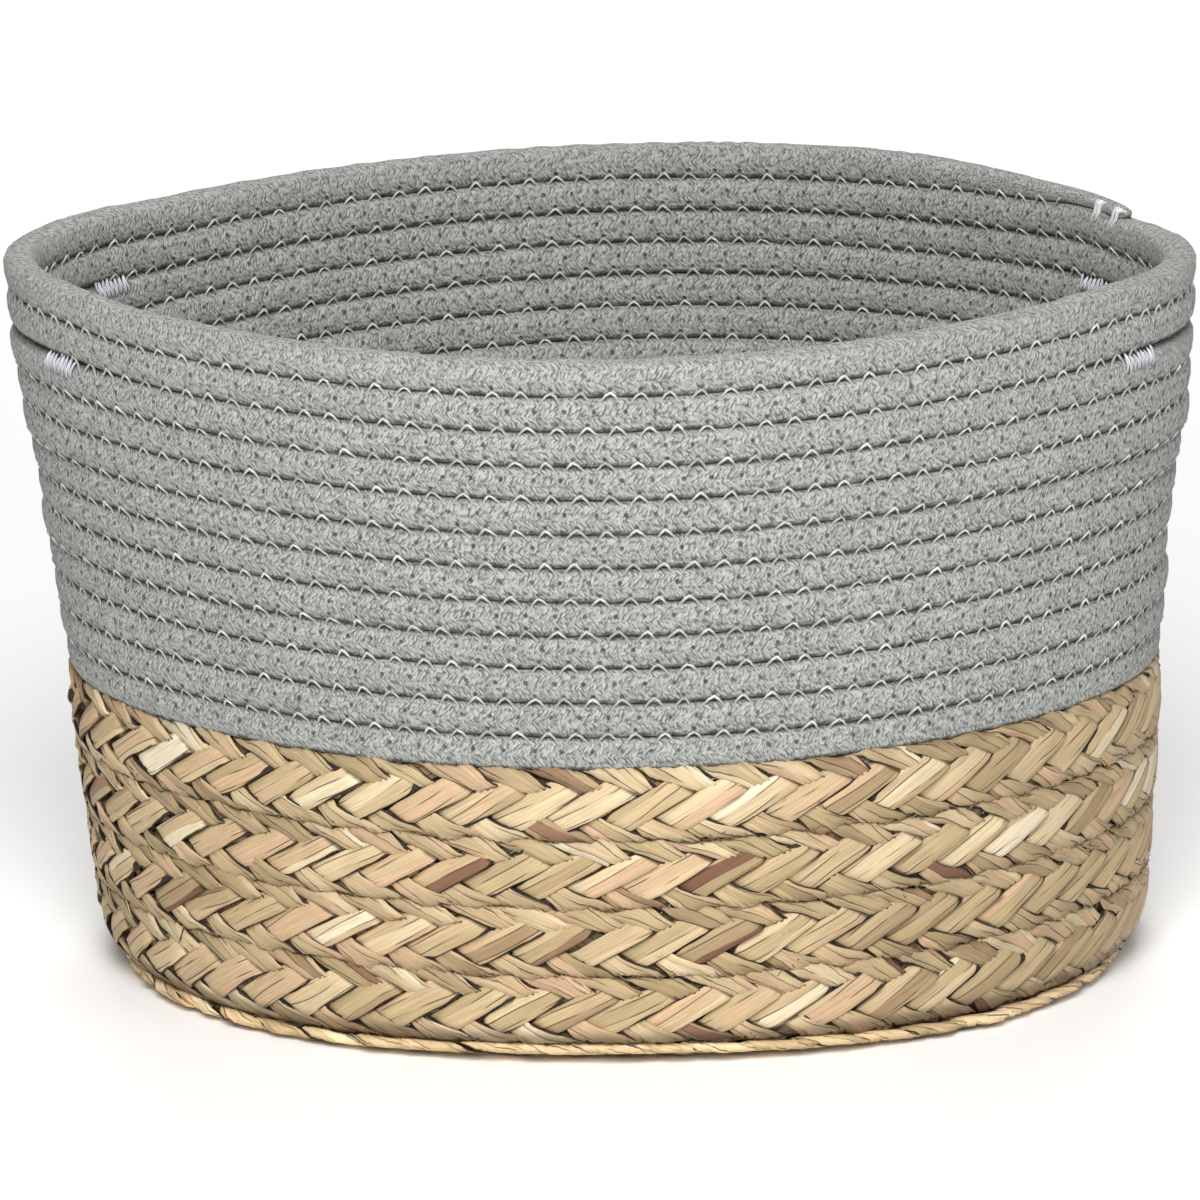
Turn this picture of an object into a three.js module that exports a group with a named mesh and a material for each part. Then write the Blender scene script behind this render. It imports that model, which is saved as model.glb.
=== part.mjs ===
// Oval storage basket: a wall of coiled cotton rope on top of a wall and a base of
// coiled rush plait, with a slit handle at each narrow end. Millimetres, +Z up, and
// the floor at Z = 0. X runs along the long axis, Y along the short one, and the
// origin lies under the middle of the rim.
import * as THREE from 'three';

// Rope
const ropePitch = 10.2;
const ropeCourses = 12;
const ropeThickness = 10.4;
const ropeFlatShare = 0.5;
const ropeEndShare = 0.5;

// Plait, which stands on edge in the wall and lies flat in the base
const plaitPitch = 20.55;
const plaitCourses = 4;
const plaitThickness = 5;
const plaitBevel = 2.2;
const baseTurns = 6;
const baseHalfLength = 150.5;
const baseHalfDepth = 119;
const baseLip = 4.5;

// Outer outline at the rim and at the foot of the wall
const rimHalfLength = 177;
const rimHalfDepth = 142;
const rimPointedness = 0.24;
const footHalfLength = 155.5;
const footHalfDepth = 124;
const footPointedness = 0;
const footShift = 5.5;
const wallHollow = 1.5;
const cornerHeight = 14.5;
const cornerTuck = 11.6;
const rimSway = 1.5;

// Slit handles and their bar tacks
const slitOpening = 1.2;
const slitCoursesAbove = 2;
const slitHalfSteps = 2;
const tackPlate = 1;
const slitTackWidth = 9;
const slitTackReach = 3.2;
const endTackWidth = 3;
const endTackReach = 5.5;
const endTackSetback = 0.3;

// Clearances
const seamGap = 0.45;
const restGap = 0.4;
const tackGap = 0.5;

// Steps of the coils
const turnSteps = 24;
const tipCrowding = THREE.MathUtils.degToRad(4);
const climbStartStep = 14;
const startStep = 2;
const wedgeTrimSteps = 2;

// Heights that follow from the sizes above
const wallBottom = plaitThickness / 2 + baseLip + restGap;
const borderHeight = wallBottom + plaitCourses * plaitPitch;
const rimHeight = borderHeight + ropeCourses * ropePitch;
const basePitch = baseHalfDepth / baseTurns;
const ropeShoulder = ((1 - ropeFlatShare) * ropeThickness) / 2;
const wedgeSteps = turnSteps - climbStartStep - wedgeTrimSteps;
const ropeSteps = ropeCourses * turnSteps;

// Angle about +Z of a step counted clockwise from the start of the coils at the back right
function stepAngle(step) {
  const even = ((startStep - step) / turnSteps) * 2 * Math.PI;
  return even - tipCrowding * Math.sin(2 * even);
}

// Level of a coil in turns: flat along the front, rising by one along the back of each turn
function turnLevel(step) {
  const turn = Math.floor(step / turnSteps);
  const within = step - turn * turnSteps;
  const climb = Math.max(0, (within - climbStartStep) / (turnSteps - climbStartStep));
  return turn + climb - Math.sin(2 * Math.PI * climb) / (4 * Math.PI);
}

// Point of the wall: an angle, a height above the floor and a depth in from the outer face
function wallPoint(angle, height, depth) {
  const share = height / rimHeight;
  const corner = Math.max(0, 1 - height / cornerHeight);
  const tuck = cornerTuck * (1 - Math.sqrt(1 - corner * corner));
  const inset = depth + tuck + 4 * wallHollow * share * (1 - share);
  const halfLength = THREE.MathUtils.lerp(footHalfLength, rimHalfLength, share) - inset;
  const halfDepth = THREE.MathUtils.lerp(footHalfDepth, rimHalfDepth, share) - inset;
  const pointedness = THREE.MathUtils.lerp(footPointedness, rimPointedness, share);
  const along = Math.cos(angle);
  const sway = rimSway * share * share * (2 * along * along - 1);
  return new THREE.Vector3(
    halfLength * along + footShift * (1 - share),
    halfDepth * Math.sin(angle) * (1 - pointedness * along * along),
    height + sway,
  );
}

// Point of the base: an angle, a distance out from its straight core and a height
function basePoint(angle, distance, height) {
  const rise = Math.max(0, distance / basePitch - (baseTurns - 1));
  return new THREE.Vector3(
    (baseHalfLength - baseHalfDepth + distance) * Math.cos(angle) + footShift,
    distance * Math.sin(angle),
    height + baseLip * rise * rise,
  );
}

// Closed tube through rings of points, each ring clockwise seen from behind the travel
function tubeGeometry(rings) {
  const sides = rings[0].length;
  const positions = rings.flat().flatMap((point) => point.toArray());
  const faces = [];
  for (let ring = 0; ring < rings.length - 1; ring += 1) {
    for (let side = 0; side < sides; side += 1) {
      const here = ring * sides + side;
      const beside = ring * sides + ((side + 1) % sides);
      faces.push(here, beside, beside + sides);
      faces.push(here, beside + sides, here + sides);
    }
  }
  const last = (rings.length - 1) * sides;
  for (let side = 1; side < sides - 1; side += 1) {
    faces.push(0, side + 1, side);
    faces.push(last, last + side, last + side + 1);
  }
  const geometry = new THREE.BufferGeometry();
  geometry.setAttribute('position', new THREE.Float32BufferAttribute(positions, 3));
  geometry.setIndex(faces);
  geometry.computeVertexNormals();
  return geometry;
}

// Least gap of a coil to its own next turn, from points to the edges of the sections
function leastGap(rings) {
  const edge = new THREE.Line3();
  const nearest = new THREE.Vector3();
  let gap = Infinity;
  for (let ring = 0; ring + turnSteps < rings.length; ring += 1) {
    const nextTurn = rings[ring + turnSteps];
    for (const point of rings[ring]) {
      nextTurn.forEach((corner, side) => {
        edge.set(corner, nextTurn[(side + 1) % nextTurn.length]);
        edge.closestPointToPoint(point, true, nearest);
        gap = Math.min(gap, nearest.distanceTo(point));
      });
    }
  }
  return gap;
}

// Six-sided section of the plait: its two edges are bevelled to a ridge
function plaitSection(low, high, front, back) {
  const middle = (front + back) / 2;
  const bevel = Math.min(plaitBevel, (high - low) / 3);
  return [
    [low, middle],
    [low + bevel, front],
    [high - bevel, front],
    [high, middle],
    [high - bevel, back],
    [low + bevel, back],
  ];
}

// Six-sided section of the rope: flat below and above, with a ridge outside and inside
function ropeSection(low, high, outside, inside) {
  const middle = (low + high) / 2;
  const shoulder = ((1 - ropeFlatShare) * (inside - outside)) / 2;
  return [
    [low, inside - shoulder],
    [low, outside + shoulder],
    [middle, outside],
    [high, outside + shoulder],
    [high, inside - shoulder],
    [middle, inside],
  ];
}

// Rise of the courses above a slit handle, which opens the slit below them
function slitLift(step) {
  const halfTurn = turnSteps / 2;
  const shifted = THREE.MathUtils.euclideanModulo(startStep - step + halfTurn / 2, halfTurn);
  const fromTip = Math.abs(shifted - halfTurn / 2);
  const aboveSlit = Math.floor(step / turnSteps) >= ropeCourses - slitCoursesAbove;
  return aboveSlit && fromTip <= slitHalfSteps ? slitOpening : 0;
}

// Underside of the rope at a step
function ropeUnderside(step) {
  return borderHeight + ropePitch * turnLevel(step) + slitLift(step);
}

function ropeRing(step) {
  const share = step === ropeSteps ? ropeEndShare : 1;
  const low = ropeUnderside(step);
  const high = low + share * (ropePitch - seamGap);
  const outside = ((1 - share) * ropeThickness) / 2;
  const inside = ropeThickness - outside;
  const buttTurn = step === 0 ? restGap / rimHalfDepth : 0;
  const angle = stepAngle(step) - buttTurn;
  return ropeSection(low, high, outside, inside).map(([up, depth]) => wallPoint(angle, up, depth));
}

function wallPlaitRing(step) {
  const nextTurn = turnLevel(step + turnSteps);
  const low = wallBottom + plaitPitch * Math.max(0, turnLevel(step));
  const plaitRise = plaitPitch * Math.min(nextTurn, plaitCourses);
  const ropeRise = ropePitch * Math.max(0, nextTurn - plaitCourses);
  const high = wallBottom + plaitRise + ropeRise - seamGap;
  const section = plaitSection(low, high, 0, plaitThickness);
  return section.map(([up, depth]) => wallPoint(stepAngle(step), up, depth));
}

function basePlaitRing(step) {
  const near = basePitch * Math.max(0, turnLevel(step)) + seamGap;
  const far = basePitch * Math.min(turnLevel(step + turnSteps), baseTurns);
  const section = plaitSection(near, far, 0, plaitThickness);
  return section.map(([out, up]) => basePoint(stepAngle(step), out, up));
}

// One unbroken coil from its first step to its last, with its least gap printed
function coil(name, ringAt, firstStep, lastStep, material) {
  const rings = [];
  for (let step = firstStep; step <= lastStep; step += 1) {
    rings.push(ringAt(step));
  }
  console.log(`${name}: least gap to itself ${leastGap(rings).toFixed(2)} mm`);
  return namedMesh(name, tubeGeometry(rings), material);
}

function namedMesh(name, geometry, material) {
  const mesh = new THREE.Mesh(geometry, material);
  mesh.name = name;
  return mesh;
}

// Flat outline drawn with X level and outwards and Y up the leaning wall, extruded along it
function tack(name, outline, width, step, height, material) {
  const shape = new THREE.Shape(outline.map(([out, up]) => new THREE.Vector2(out, up)));
  const geometry = new THREE.ExtrudeGeometry(shape, { depth: width, bevelEnabled: false });
  geometry.translate(0, 0, -width / 2);
  const seat = wallPoint(stepAngle(step), height, 0);
  const up = wallPoint(stepAngle(step), height + 1, 0).sub(seat);
  const behind = wallPoint(stepAngle(step - 1), height, 0);
  const ahead = wallPoint(stepAngle(step + 1), height, 0);
  const along = ahead.sub(behind).normalize();
  const outwards = new THREE.Vector3(0, 0, 1).cross(along).normalize();
  const placing = new THREE.Matrix4().makeBasis(outwards, up, along).setPosition(seat);
  return namedMesh(name, geometry.applyMatrix4(placing), material);
}

// Bar tack at an end of a slit: a plate outside, a plate inside and a web through the slit.
// Each plate sinks into the groove between the two courses that it joins.
function slitTack(name, step, material) {
  const lower = ropeUnderside(step - turnSteps) + ropePitch - seamGap;
  const upper = ropeUnderside(step);
  const halfSlit = (upper - lower) / 2;
  const groove = ropeShoulder * (1 - (2 * (slitTackReach - halfSlit)) / (ropePitch - seamGap));
  const web = halfSlit - tackGap;
  const outer = tackGap - groove;
  const inner = groove - ropeThickness - 2 * tackGap;
  const outline = [
    [outer + tackPlate, -slitTackReach],
    [outer + tackPlate, slitTackReach],
    [outer, slitTackReach],
    [outer, web],
    [inner, web],
    [inner, slitTackReach],
    [inner - tackPlate, slitTackReach],
    [inner - tackPlate, -slitTackReach],
    [inner, -slitTackReach],
    [inner, -web],
    [outer, -web],
    [outer, -slitTackReach],
  ];
  return tack(name, outline, slitTackWidth, step, (lower + upper) / 2, material);
}

// Half of a band that lies round the thinned end of the rope, from its foot up to its top
function endBand(clearance, share) {
  const thinning = ((1 - share) * ropeThickness) / 2;
  const top = share * (ropePitch - seamGap);
  return [
    [clearance, -endTackReach],
    [clearance - thinning, top / 2],
    [clearance - thinning - share * ropeShoulder, top + clearance],
  ];
}

// Tack over the thinned end of the rope, down to the course below on both faces
function endTack(name, material) {
  const share = THREE.MathUtils.lerp(ropeEndShare, 1, endTackSetback);
  const across = ([out, up]) => [-ropeThickness - out, up];
  const face = endBand(tackGap + tackPlate, share);
  const lining = endBand(tackGap, share);
  const faceBehind = face.map(across).reverse();
  const liningBehind = lining.map(across);
  const outline = [...face, ...faceBehind, ...liningBehind, ...lining.reverse()];
  const step = ropeSteps - endTackSetback;
  return tack(name, outline, endTackWidth, step, ropeUnderside(ropeSteps), material);
}

const cottonRope = new THREE.MeshStandardMaterial({ color: 0xa2a49d, roughness: 0.95, metalness: 0 });
const rushPlait = new THREE.MeshStandardMaterial({ color: 0xc3a571, roughness: 0.8, metalness: 0 });
const paleThread = new THREE.MeshStandardMaterial({ color: 0xdedcd4, roughness: 0.9, metalness: 0 });

// Steps of the slit ends in the second course from the rim
const slitCourse = (ropeCourses - slitCoursesAbove) * turnSteps;
const slitEnds = {
  right_back_tack: slitCourse + startStep - slitHalfSteps,
  right_front_tack: slitCourse + startStep + slitHalfSteps,
  left_front_tack: slitCourse + startStep + turnSteps / 2 - slitHalfSteps,
  left_back_tack: slitCourse + startStep + turnSteps / 2 + slitHalfSteps,
};

const basket = new THREE.Group();
basket.add(
  coil('base_plait', basePlaitRing, -wedgeSteps, baseTurns * turnSteps - wedgeTrimSteps, rushPlait),
  coil('wall_plait', wallPlaitRing, -wedgeSteps, plaitCourses * turnSteps, rushPlait),
  coil('rope_coil', ropeRing, 0, ropeSteps, cottonRope),
  endTack('rope_end_tack', paleThread),
);
for (const [name, step] of Object.entries(slitEnds)) {
  basket.add(slitTack(name, step, paleThread));
}

export default basket;
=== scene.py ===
"""Oval storage basket: a wall of coiled cotton rope on a wall and base of coiled rush plait.

The coils follow the sizes of the CAD model, in metres, with +Z up. Every coil runs clockwise
seen from above, starts at the back right, lies level along the front and climbs along the back.
"""
import logging
import math
from collections.abc import Callable
from dataclasses import dataclass
from enum import Enum
from typing import Any

import bmesh
import bpy
import numpy as np
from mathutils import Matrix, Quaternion, Vector


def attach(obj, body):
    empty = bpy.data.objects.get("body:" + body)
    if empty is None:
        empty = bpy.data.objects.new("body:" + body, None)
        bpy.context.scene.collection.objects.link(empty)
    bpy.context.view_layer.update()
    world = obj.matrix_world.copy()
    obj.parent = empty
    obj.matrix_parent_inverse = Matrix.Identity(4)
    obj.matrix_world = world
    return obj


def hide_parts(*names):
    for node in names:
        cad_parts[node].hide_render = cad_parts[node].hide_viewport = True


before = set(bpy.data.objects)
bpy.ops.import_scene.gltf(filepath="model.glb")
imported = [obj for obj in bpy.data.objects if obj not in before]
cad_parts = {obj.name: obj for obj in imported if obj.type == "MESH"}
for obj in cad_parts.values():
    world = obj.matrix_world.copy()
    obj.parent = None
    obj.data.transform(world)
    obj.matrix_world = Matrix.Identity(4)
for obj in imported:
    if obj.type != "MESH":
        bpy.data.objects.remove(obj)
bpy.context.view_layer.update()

MM = 0.001
# Places along a coil are given in turns, and many of them in the CAD model's steps of a turn.
STEPS = 24
# Half the width of a strand in its map, where each strand has a lane that is 1 wide.
LANE_SHARE = 0.49
RUN_MAP = "run"
NEEDLE_MAP = "needle"
LOOP_MAP = "loop"
PHASE_MAP = "phase"
log = logging.getLogger("basket")


class Side(Enum):
    """The two faces of the wall."""

    OUTSIDE = 1
    INSIDE = -1


def ease(share: np.ndarray) -> np.ndarray:
    """Share from 0 to 1 that starts and stops softly."""
    held = np.clip(share, 0.0, 1.0)
    return held * held * (3.0 - 2.0 * held)


def grow(place: np.ndarray, start: float, length: float) -> np.ndarray:
    """Share that is 0 up to a start and rises softly to 1 over a length."""
    return ease((place - start) / length)


def blend(start: Any, end: Any, share: Any) -> Any:
    """Value between start and end."""
    return start + (end - start) * share


def ripple(turns: np.ndarray, waves: tuple, shift: float) -> np.ndarray:
    """Sum of waves along a coil, each given by its size and its number in a turn."""
    return sum(size * np.sin(2 * np.pi * rate * turns + shift * rate) for size, rate in waves)


def wander(lengths: np.ndarray, spacing: float, amount: float, seed: int) -> np.ndarray:
    """Slow random change along a length.

    Args:
        lengths: places along the strand, in metres.
        spacing: distance between the random values.
        amount: standard deviation of the values.
        seed: seed of the random values.

    Returns:
        One value for each place.
    """
    place = (lengths - lengths.min()) / spacing
    knot = np.floor(place).astype(int)
    values = np.random.default_rng(seed).normal(0.0, amount, knot.max() + 2)
    return blend(values[knot], values[knot + 1], ease(place - knot))


class Track:
    """Length along a coil against its turns."""

    points_per_turn: int = 1200

    def __init__(self, path: Callable[[np.ndarray], np.ndarray], first: float, last: float) -> None:
        """Measures a path.

        Args:
            path: gives points for an array of turns.
            first: turn where the path starts.
            last: turn where the path ends.
        """
        self.turns = np.linspace(first, last, int((last - first) * self.points_per_turn) + 2)
        steps = np.linalg.norm(np.diff(path(self.turns), axis=0), axis=1)
        self.lengths = np.concatenate([[0.0], np.cumsum(steps)])
        self.total = float(self.lengths[-1])

    def turn(self, lengths: np.ndarray) -> np.ndarray:
        """Turns at the given lengths."""
        return np.interp(lengths, self.lengths, self.turns)


@dataclass(frozen=True)
class BasketForm:
    """Outline of the basket and the run of its coils."""

    start_turn: float = 2 / STEPS
    climb_start: float = 14 / STEPS
    tip_crowding: float = math.radians(4)
    rim_height: float = 212 * MM
    rim_half_length: float = 177 * MM
    rim_half_depth: float = 142 * MM
    rim_pointedness: float = 0.24
    foot_half_length: float = 155.5 * MM
    foot_half_depth: float = 124 * MM
    foot_shift: float = 5.5 * MM
    wall_hollow: float = 1.5 * MM
    corner_height: float = 14.5 * MM
    corner_tuck: float = 11.6 * MM
    rim_sway: float = 1.5 * MM
    wall_bottom: float = 7.4 * MM
    border_height: float = 89.6 * MM
    rope_pitch: float = 10.2 * MM
    base_half_length: float = 151 * MM
    base_half_depth: float = 123 * MM
    base_fullness: float = 0.94
    base_turns: int = 6
    base_lip: float = 1.6 * MM
    base_wave: float = 1.05 * MM
    base_waves: int = 4

    @property
    def base_pitch(self) -> float:
        """Width of one turn of the base."""
        return self.base_half_depth / self.base_turns

    def angle(self, turns: np.ndarray) -> np.ndarray:
        """Angle about +Z of a place given in turns from the start of the coils."""
        even = 2 * np.pi * (self.start_turn - turns)
        return even - self.tip_crowding * np.sin(2 * even)

    def level(self, turns: np.ndarray) -> np.ndarray:
        """Level of a coil: flat along the front, rising by one along each back.

        Args:
            turns: places along the coil.

        Returns:
            Levels in courses above the first.
        """
        whole = np.floor(turns)
        climb = np.clip((turns - whole - self.climb_start) / (1 - self.climb_start), 0.0, None)
        return whole + climb - np.sin(2 * np.pi * climb) / (4 * np.pi)

    def shell(self, angle: np.ndarray, height: np.ndarray) -> np.ndarray:
        """Points on the outer face of the wall.

        Args:
            angle: angles about +Z.
            height: heights above the floor.

        Returns:
            One point for each angle and height.
        """
        share = height / self.rim_height
        corner = np.clip(1 - height / self.corner_height, 0.0, 1.0)
        tuck = self.corner_tuck * (1 - np.sqrt(1 - corner * corner))
        inset = tuck + 4 * self.wall_hollow * share * (1 - share)
        half_length = blend(self.foot_half_length, self.rim_half_length, share) - inset
        half_depth = blend(self.foot_half_depth, self.rim_half_depth, share) - inset
        along = np.cos(angle)
        narrowing = 1 - self.rim_pointedness * share * along * along
        sway = self.rim_sway * share * share * (2 * along * along - 1)
        return np.stack(
            [
                half_length * along + self.foot_shift * (1 - share),
                half_depth * np.sin(angle) * narrowing,
                height + sway,
            ],
            axis=-1,
        )

    def wall(self, turns: np.ndarray, height: np.ndarray, depth: np.ndarray) -> np.ndarray:
        """Points in the wall.

        Args:
            turns: places along the coil.
            height: heights above the floor.
            depth: level distances in from the outer face.

        Returns:
            One point for each place.
        """
        angle = self.angle(turns)
        nudge = 1e-4
        run = self.shell(angle + nudge, height) - self.shell(angle - nudge, height)
        outward = np.stack([run[..., 1], -run[..., 0], np.zeros_like(angle)], axis=-1)
        outward /= np.linalg.norm(outward, axis=-1, keepdims=True)
        return self.shell(angle, height) - outward * np.asarray(depth)[..., None]

    def base(self, turns: np.ndarray, distance: np.ndarray, height: np.ndarray) -> np.ndarray:
        """Points in the base.

        Args:
            turns: places along the coil.
            distance: distances out from the straight core.
            height: heights above the floor, before the lip is added.

        Returns:
            One point for each place.
        """
        angle = self.angle(turns)
        rise = np.clip(distance / self.base_pitch - (self.base_turns - 1), 0.0, None)
        straight = self.base_half_length - self.base_half_depth
        along = np.sign(np.cos(angle)) * np.abs(np.cos(angle)) ** self.base_fullness
        aside = np.sign(np.sin(angle)) * np.abs(np.sin(angle)) ** self.base_fullness
        lip = self.base_lip + self.base_wave * np.cos(self.base_waves * angle)
        return np.stack(
            [
                (straight + distance) * along + self.foot_shift,
                distance * aside,
                height + lip * rise * rise,
            ],
            axis=-1,
        )


class Loft:
    """Mesh of one piece, gathered from closed tubes."""

    merge_distance: float = 1e-7

    def __init__(self, name: str) -> None:
        """Starts an empty piece.

        Args:
            name: name of the piece.
        """
        self.name = name
        self.mesh = bmesh.new()
        self.sides = 0

    def add_tube(
        self,
        rings: np.ndarray,
        across: np.ndarray,
        lengths: np.ndarray,
        counts: dict[str, np.ndarray] | None = None,
    ) -> None:
        """Adds a grid bent round to a tube, with its length and girth as its map.

        Args:
            rings: points, by ring and by place round the ring.
            across: map value of each place round the ring, and of the first place again.
            lengths: length along the tube of each ring.
            counts: two stitch counts of each ring, for each further map.
        """
        count, sides = rings.shape[:2]
        wrapped = np.concatenate([rings, rings[:, :1]], axis=1)
        grid = bmesh.new()
        bmesh.ops.create_grid(grid, x_segments=count - 1, y_segments=sides, size=1.0)
        sheet = bpy.data.meshes.new(self.name)
        grid.to_mesh(sheet)
        grid.free()
        flat = np.empty(len(sheet.vertices) * 3, np.float32)
        sheet.vertices.foreach_get("co", flat)
        flat = flat.reshape(-1, 3)
        column = np.rint((flat[:, 0] + 1) / 2 * (count - 1)).astype(int)
        row = np.rint((flat[:, 1] + 1) / 2 * sides).astype(int)
        sheet.vertices.foreach_set("co", wrapped[column, row].astype(np.float32).ravel())
        corners = np.empty(len(sheet.loops), np.int32)
        sheet.loops.foreach_get("vertex_index", corners)
        maps = {RUN_MAP: np.stack([lengths[column], across[row]], axis=1)}
        for name, pairs in (counts or {}).items():
            maps[name] = pairs[column]
        for name, places in maps.items():
            layer = sheet.uv_layers.new(name=name)
            layer.data.foreach_set("uv", places[corners].astype(np.float32).ravel())
        self.mesh.from_mesh(sheet)
        bpy.data.meshes.remove(sheet)
        self.sides = max(self.sides, sides)

    def add_thread(
        self, path: np.ndarray, out: np.ndarray, radius: float, lengths: np.ndarray, sides: int = 5
    ) -> None:
        """Adds a round thread.

        Args:
            path: points along the middle of the thread.
            out: a direction at each point that isn't along the thread.
            radius: radius of the thread.
            lengths: map value of each point along the thread.
            sides: number of sides.
        """
        along = np.gradient(path, axis=0)
        along /= np.linalg.norm(along, axis=1, keepdims=True)
        first = out - along * np.sum(out * along, axis=1, keepdims=True)
        first /= np.linalg.norm(first, axis=1, keepdims=True)
        second = np.cross(along, first)
        turn = np.arange(sides) * 2 * np.pi / sides
        spokes = first[:, None] * np.cos(turn)[None, :, None]
        spokes = spokes + second[:, None] * np.sin(turn)[None, :, None]
        self.add_tube(path[:, None] + radius * spokes, np.linspace(0, 1, sides + 1), lengths)

    def finish(self, body: str, slot: str, finish: bpy.types.Material) -> bpy.types.Object:
        """Closes the tubes and makes the piece's object.

        Args:
            body: body that the piece rides on.
            slot: not used.
            finish: material of the piece.

        Returns:
            The new object, at the origin.
        """
        bmesh.ops.remove_doubles(self.mesh, verts=self.mesh.verts, dist=self.merge_distance)
        rims = [edge for edge in self.mesh.edges if edge.is_boundary]
        bmesh.ops.holes_fill(self.mesh, edges=rims, sides=self.sides)
        bmesh.ops.recalc_face_normals(self.mesh, faces=self.mesh.faces)
        for face in self.mesh.faces:
            face.smooth = True
        data = bpy.data.meshes.new(self.name)
        self.mesh.to_mesh(data)
        self.mesh.free()
        data.materials.append(finish)
        piece = bpy.data.objects.new(self.name, data)
        bpy.context.scene.collection.objects.link(piece)
        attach(piece, body)
        triangles = sum(len(face.vertices) - 2 for face in data.polygons)
        log.info("%s: %d triangles", self.name, triangles)
        return piece


class Wire:
    """A socket whose operators add Math nodes."""

    def __init__(self, graph: "Graph", socket: bpy.types.NodeSocket) -> None:
        """Keeps the socket and the graph that it belongs to."""
        self.graph = graph
        self.socket = socket

    def math(self, operation: str, *values: Any) -> "Wire":
        """Math node on this socket and other values."""
        sockets = dict(enumerate((self, *values)))
        return self.graph.node("ShaderNodeMath", {"operation": operation}, sockets)

    def __add__(self, other: Any) -> "Wire":
        """Sum."""
        return self.math("ADD", other)

    def __mul__(self, other: Any) -> "Wire":
        """Product."""
        return self.math("MULTIPLY", other)

    __radd__ = __add__
    __rmul__ = __mul__

    def __sub__(self, other: Any) -> "Wire":
        """Difference."""
        return self.math("SUBTRACT", other)

    def __rsub__(self, other: Any) -> "Wire":
        """Difference with this socket taken away."""
        return self.graph.node("ShaderNodeMath", {"operation": "SUBTRACT"}, {0: other, 1: self})

    def __truediv__(self, other: Any) -> "Wire":
        """Quotient."""
        return self.math("DIVIDE", other)

    def between(self, low: float, high: float) -> "Wire":
        """Soft step from 0 to 1.

        Args:
            low: value at which it leaves 0.
            high: value at which it gets to 1.

        Returns:
            The step.
        """
        settings = {"interpolation_type": "SMOOTHSTEP"}
        sockets = {"Value": self, "From Min": low, "From Max": high}
        return self.graph.node("ShaderNodeMapRange", settings, sockets)


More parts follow.
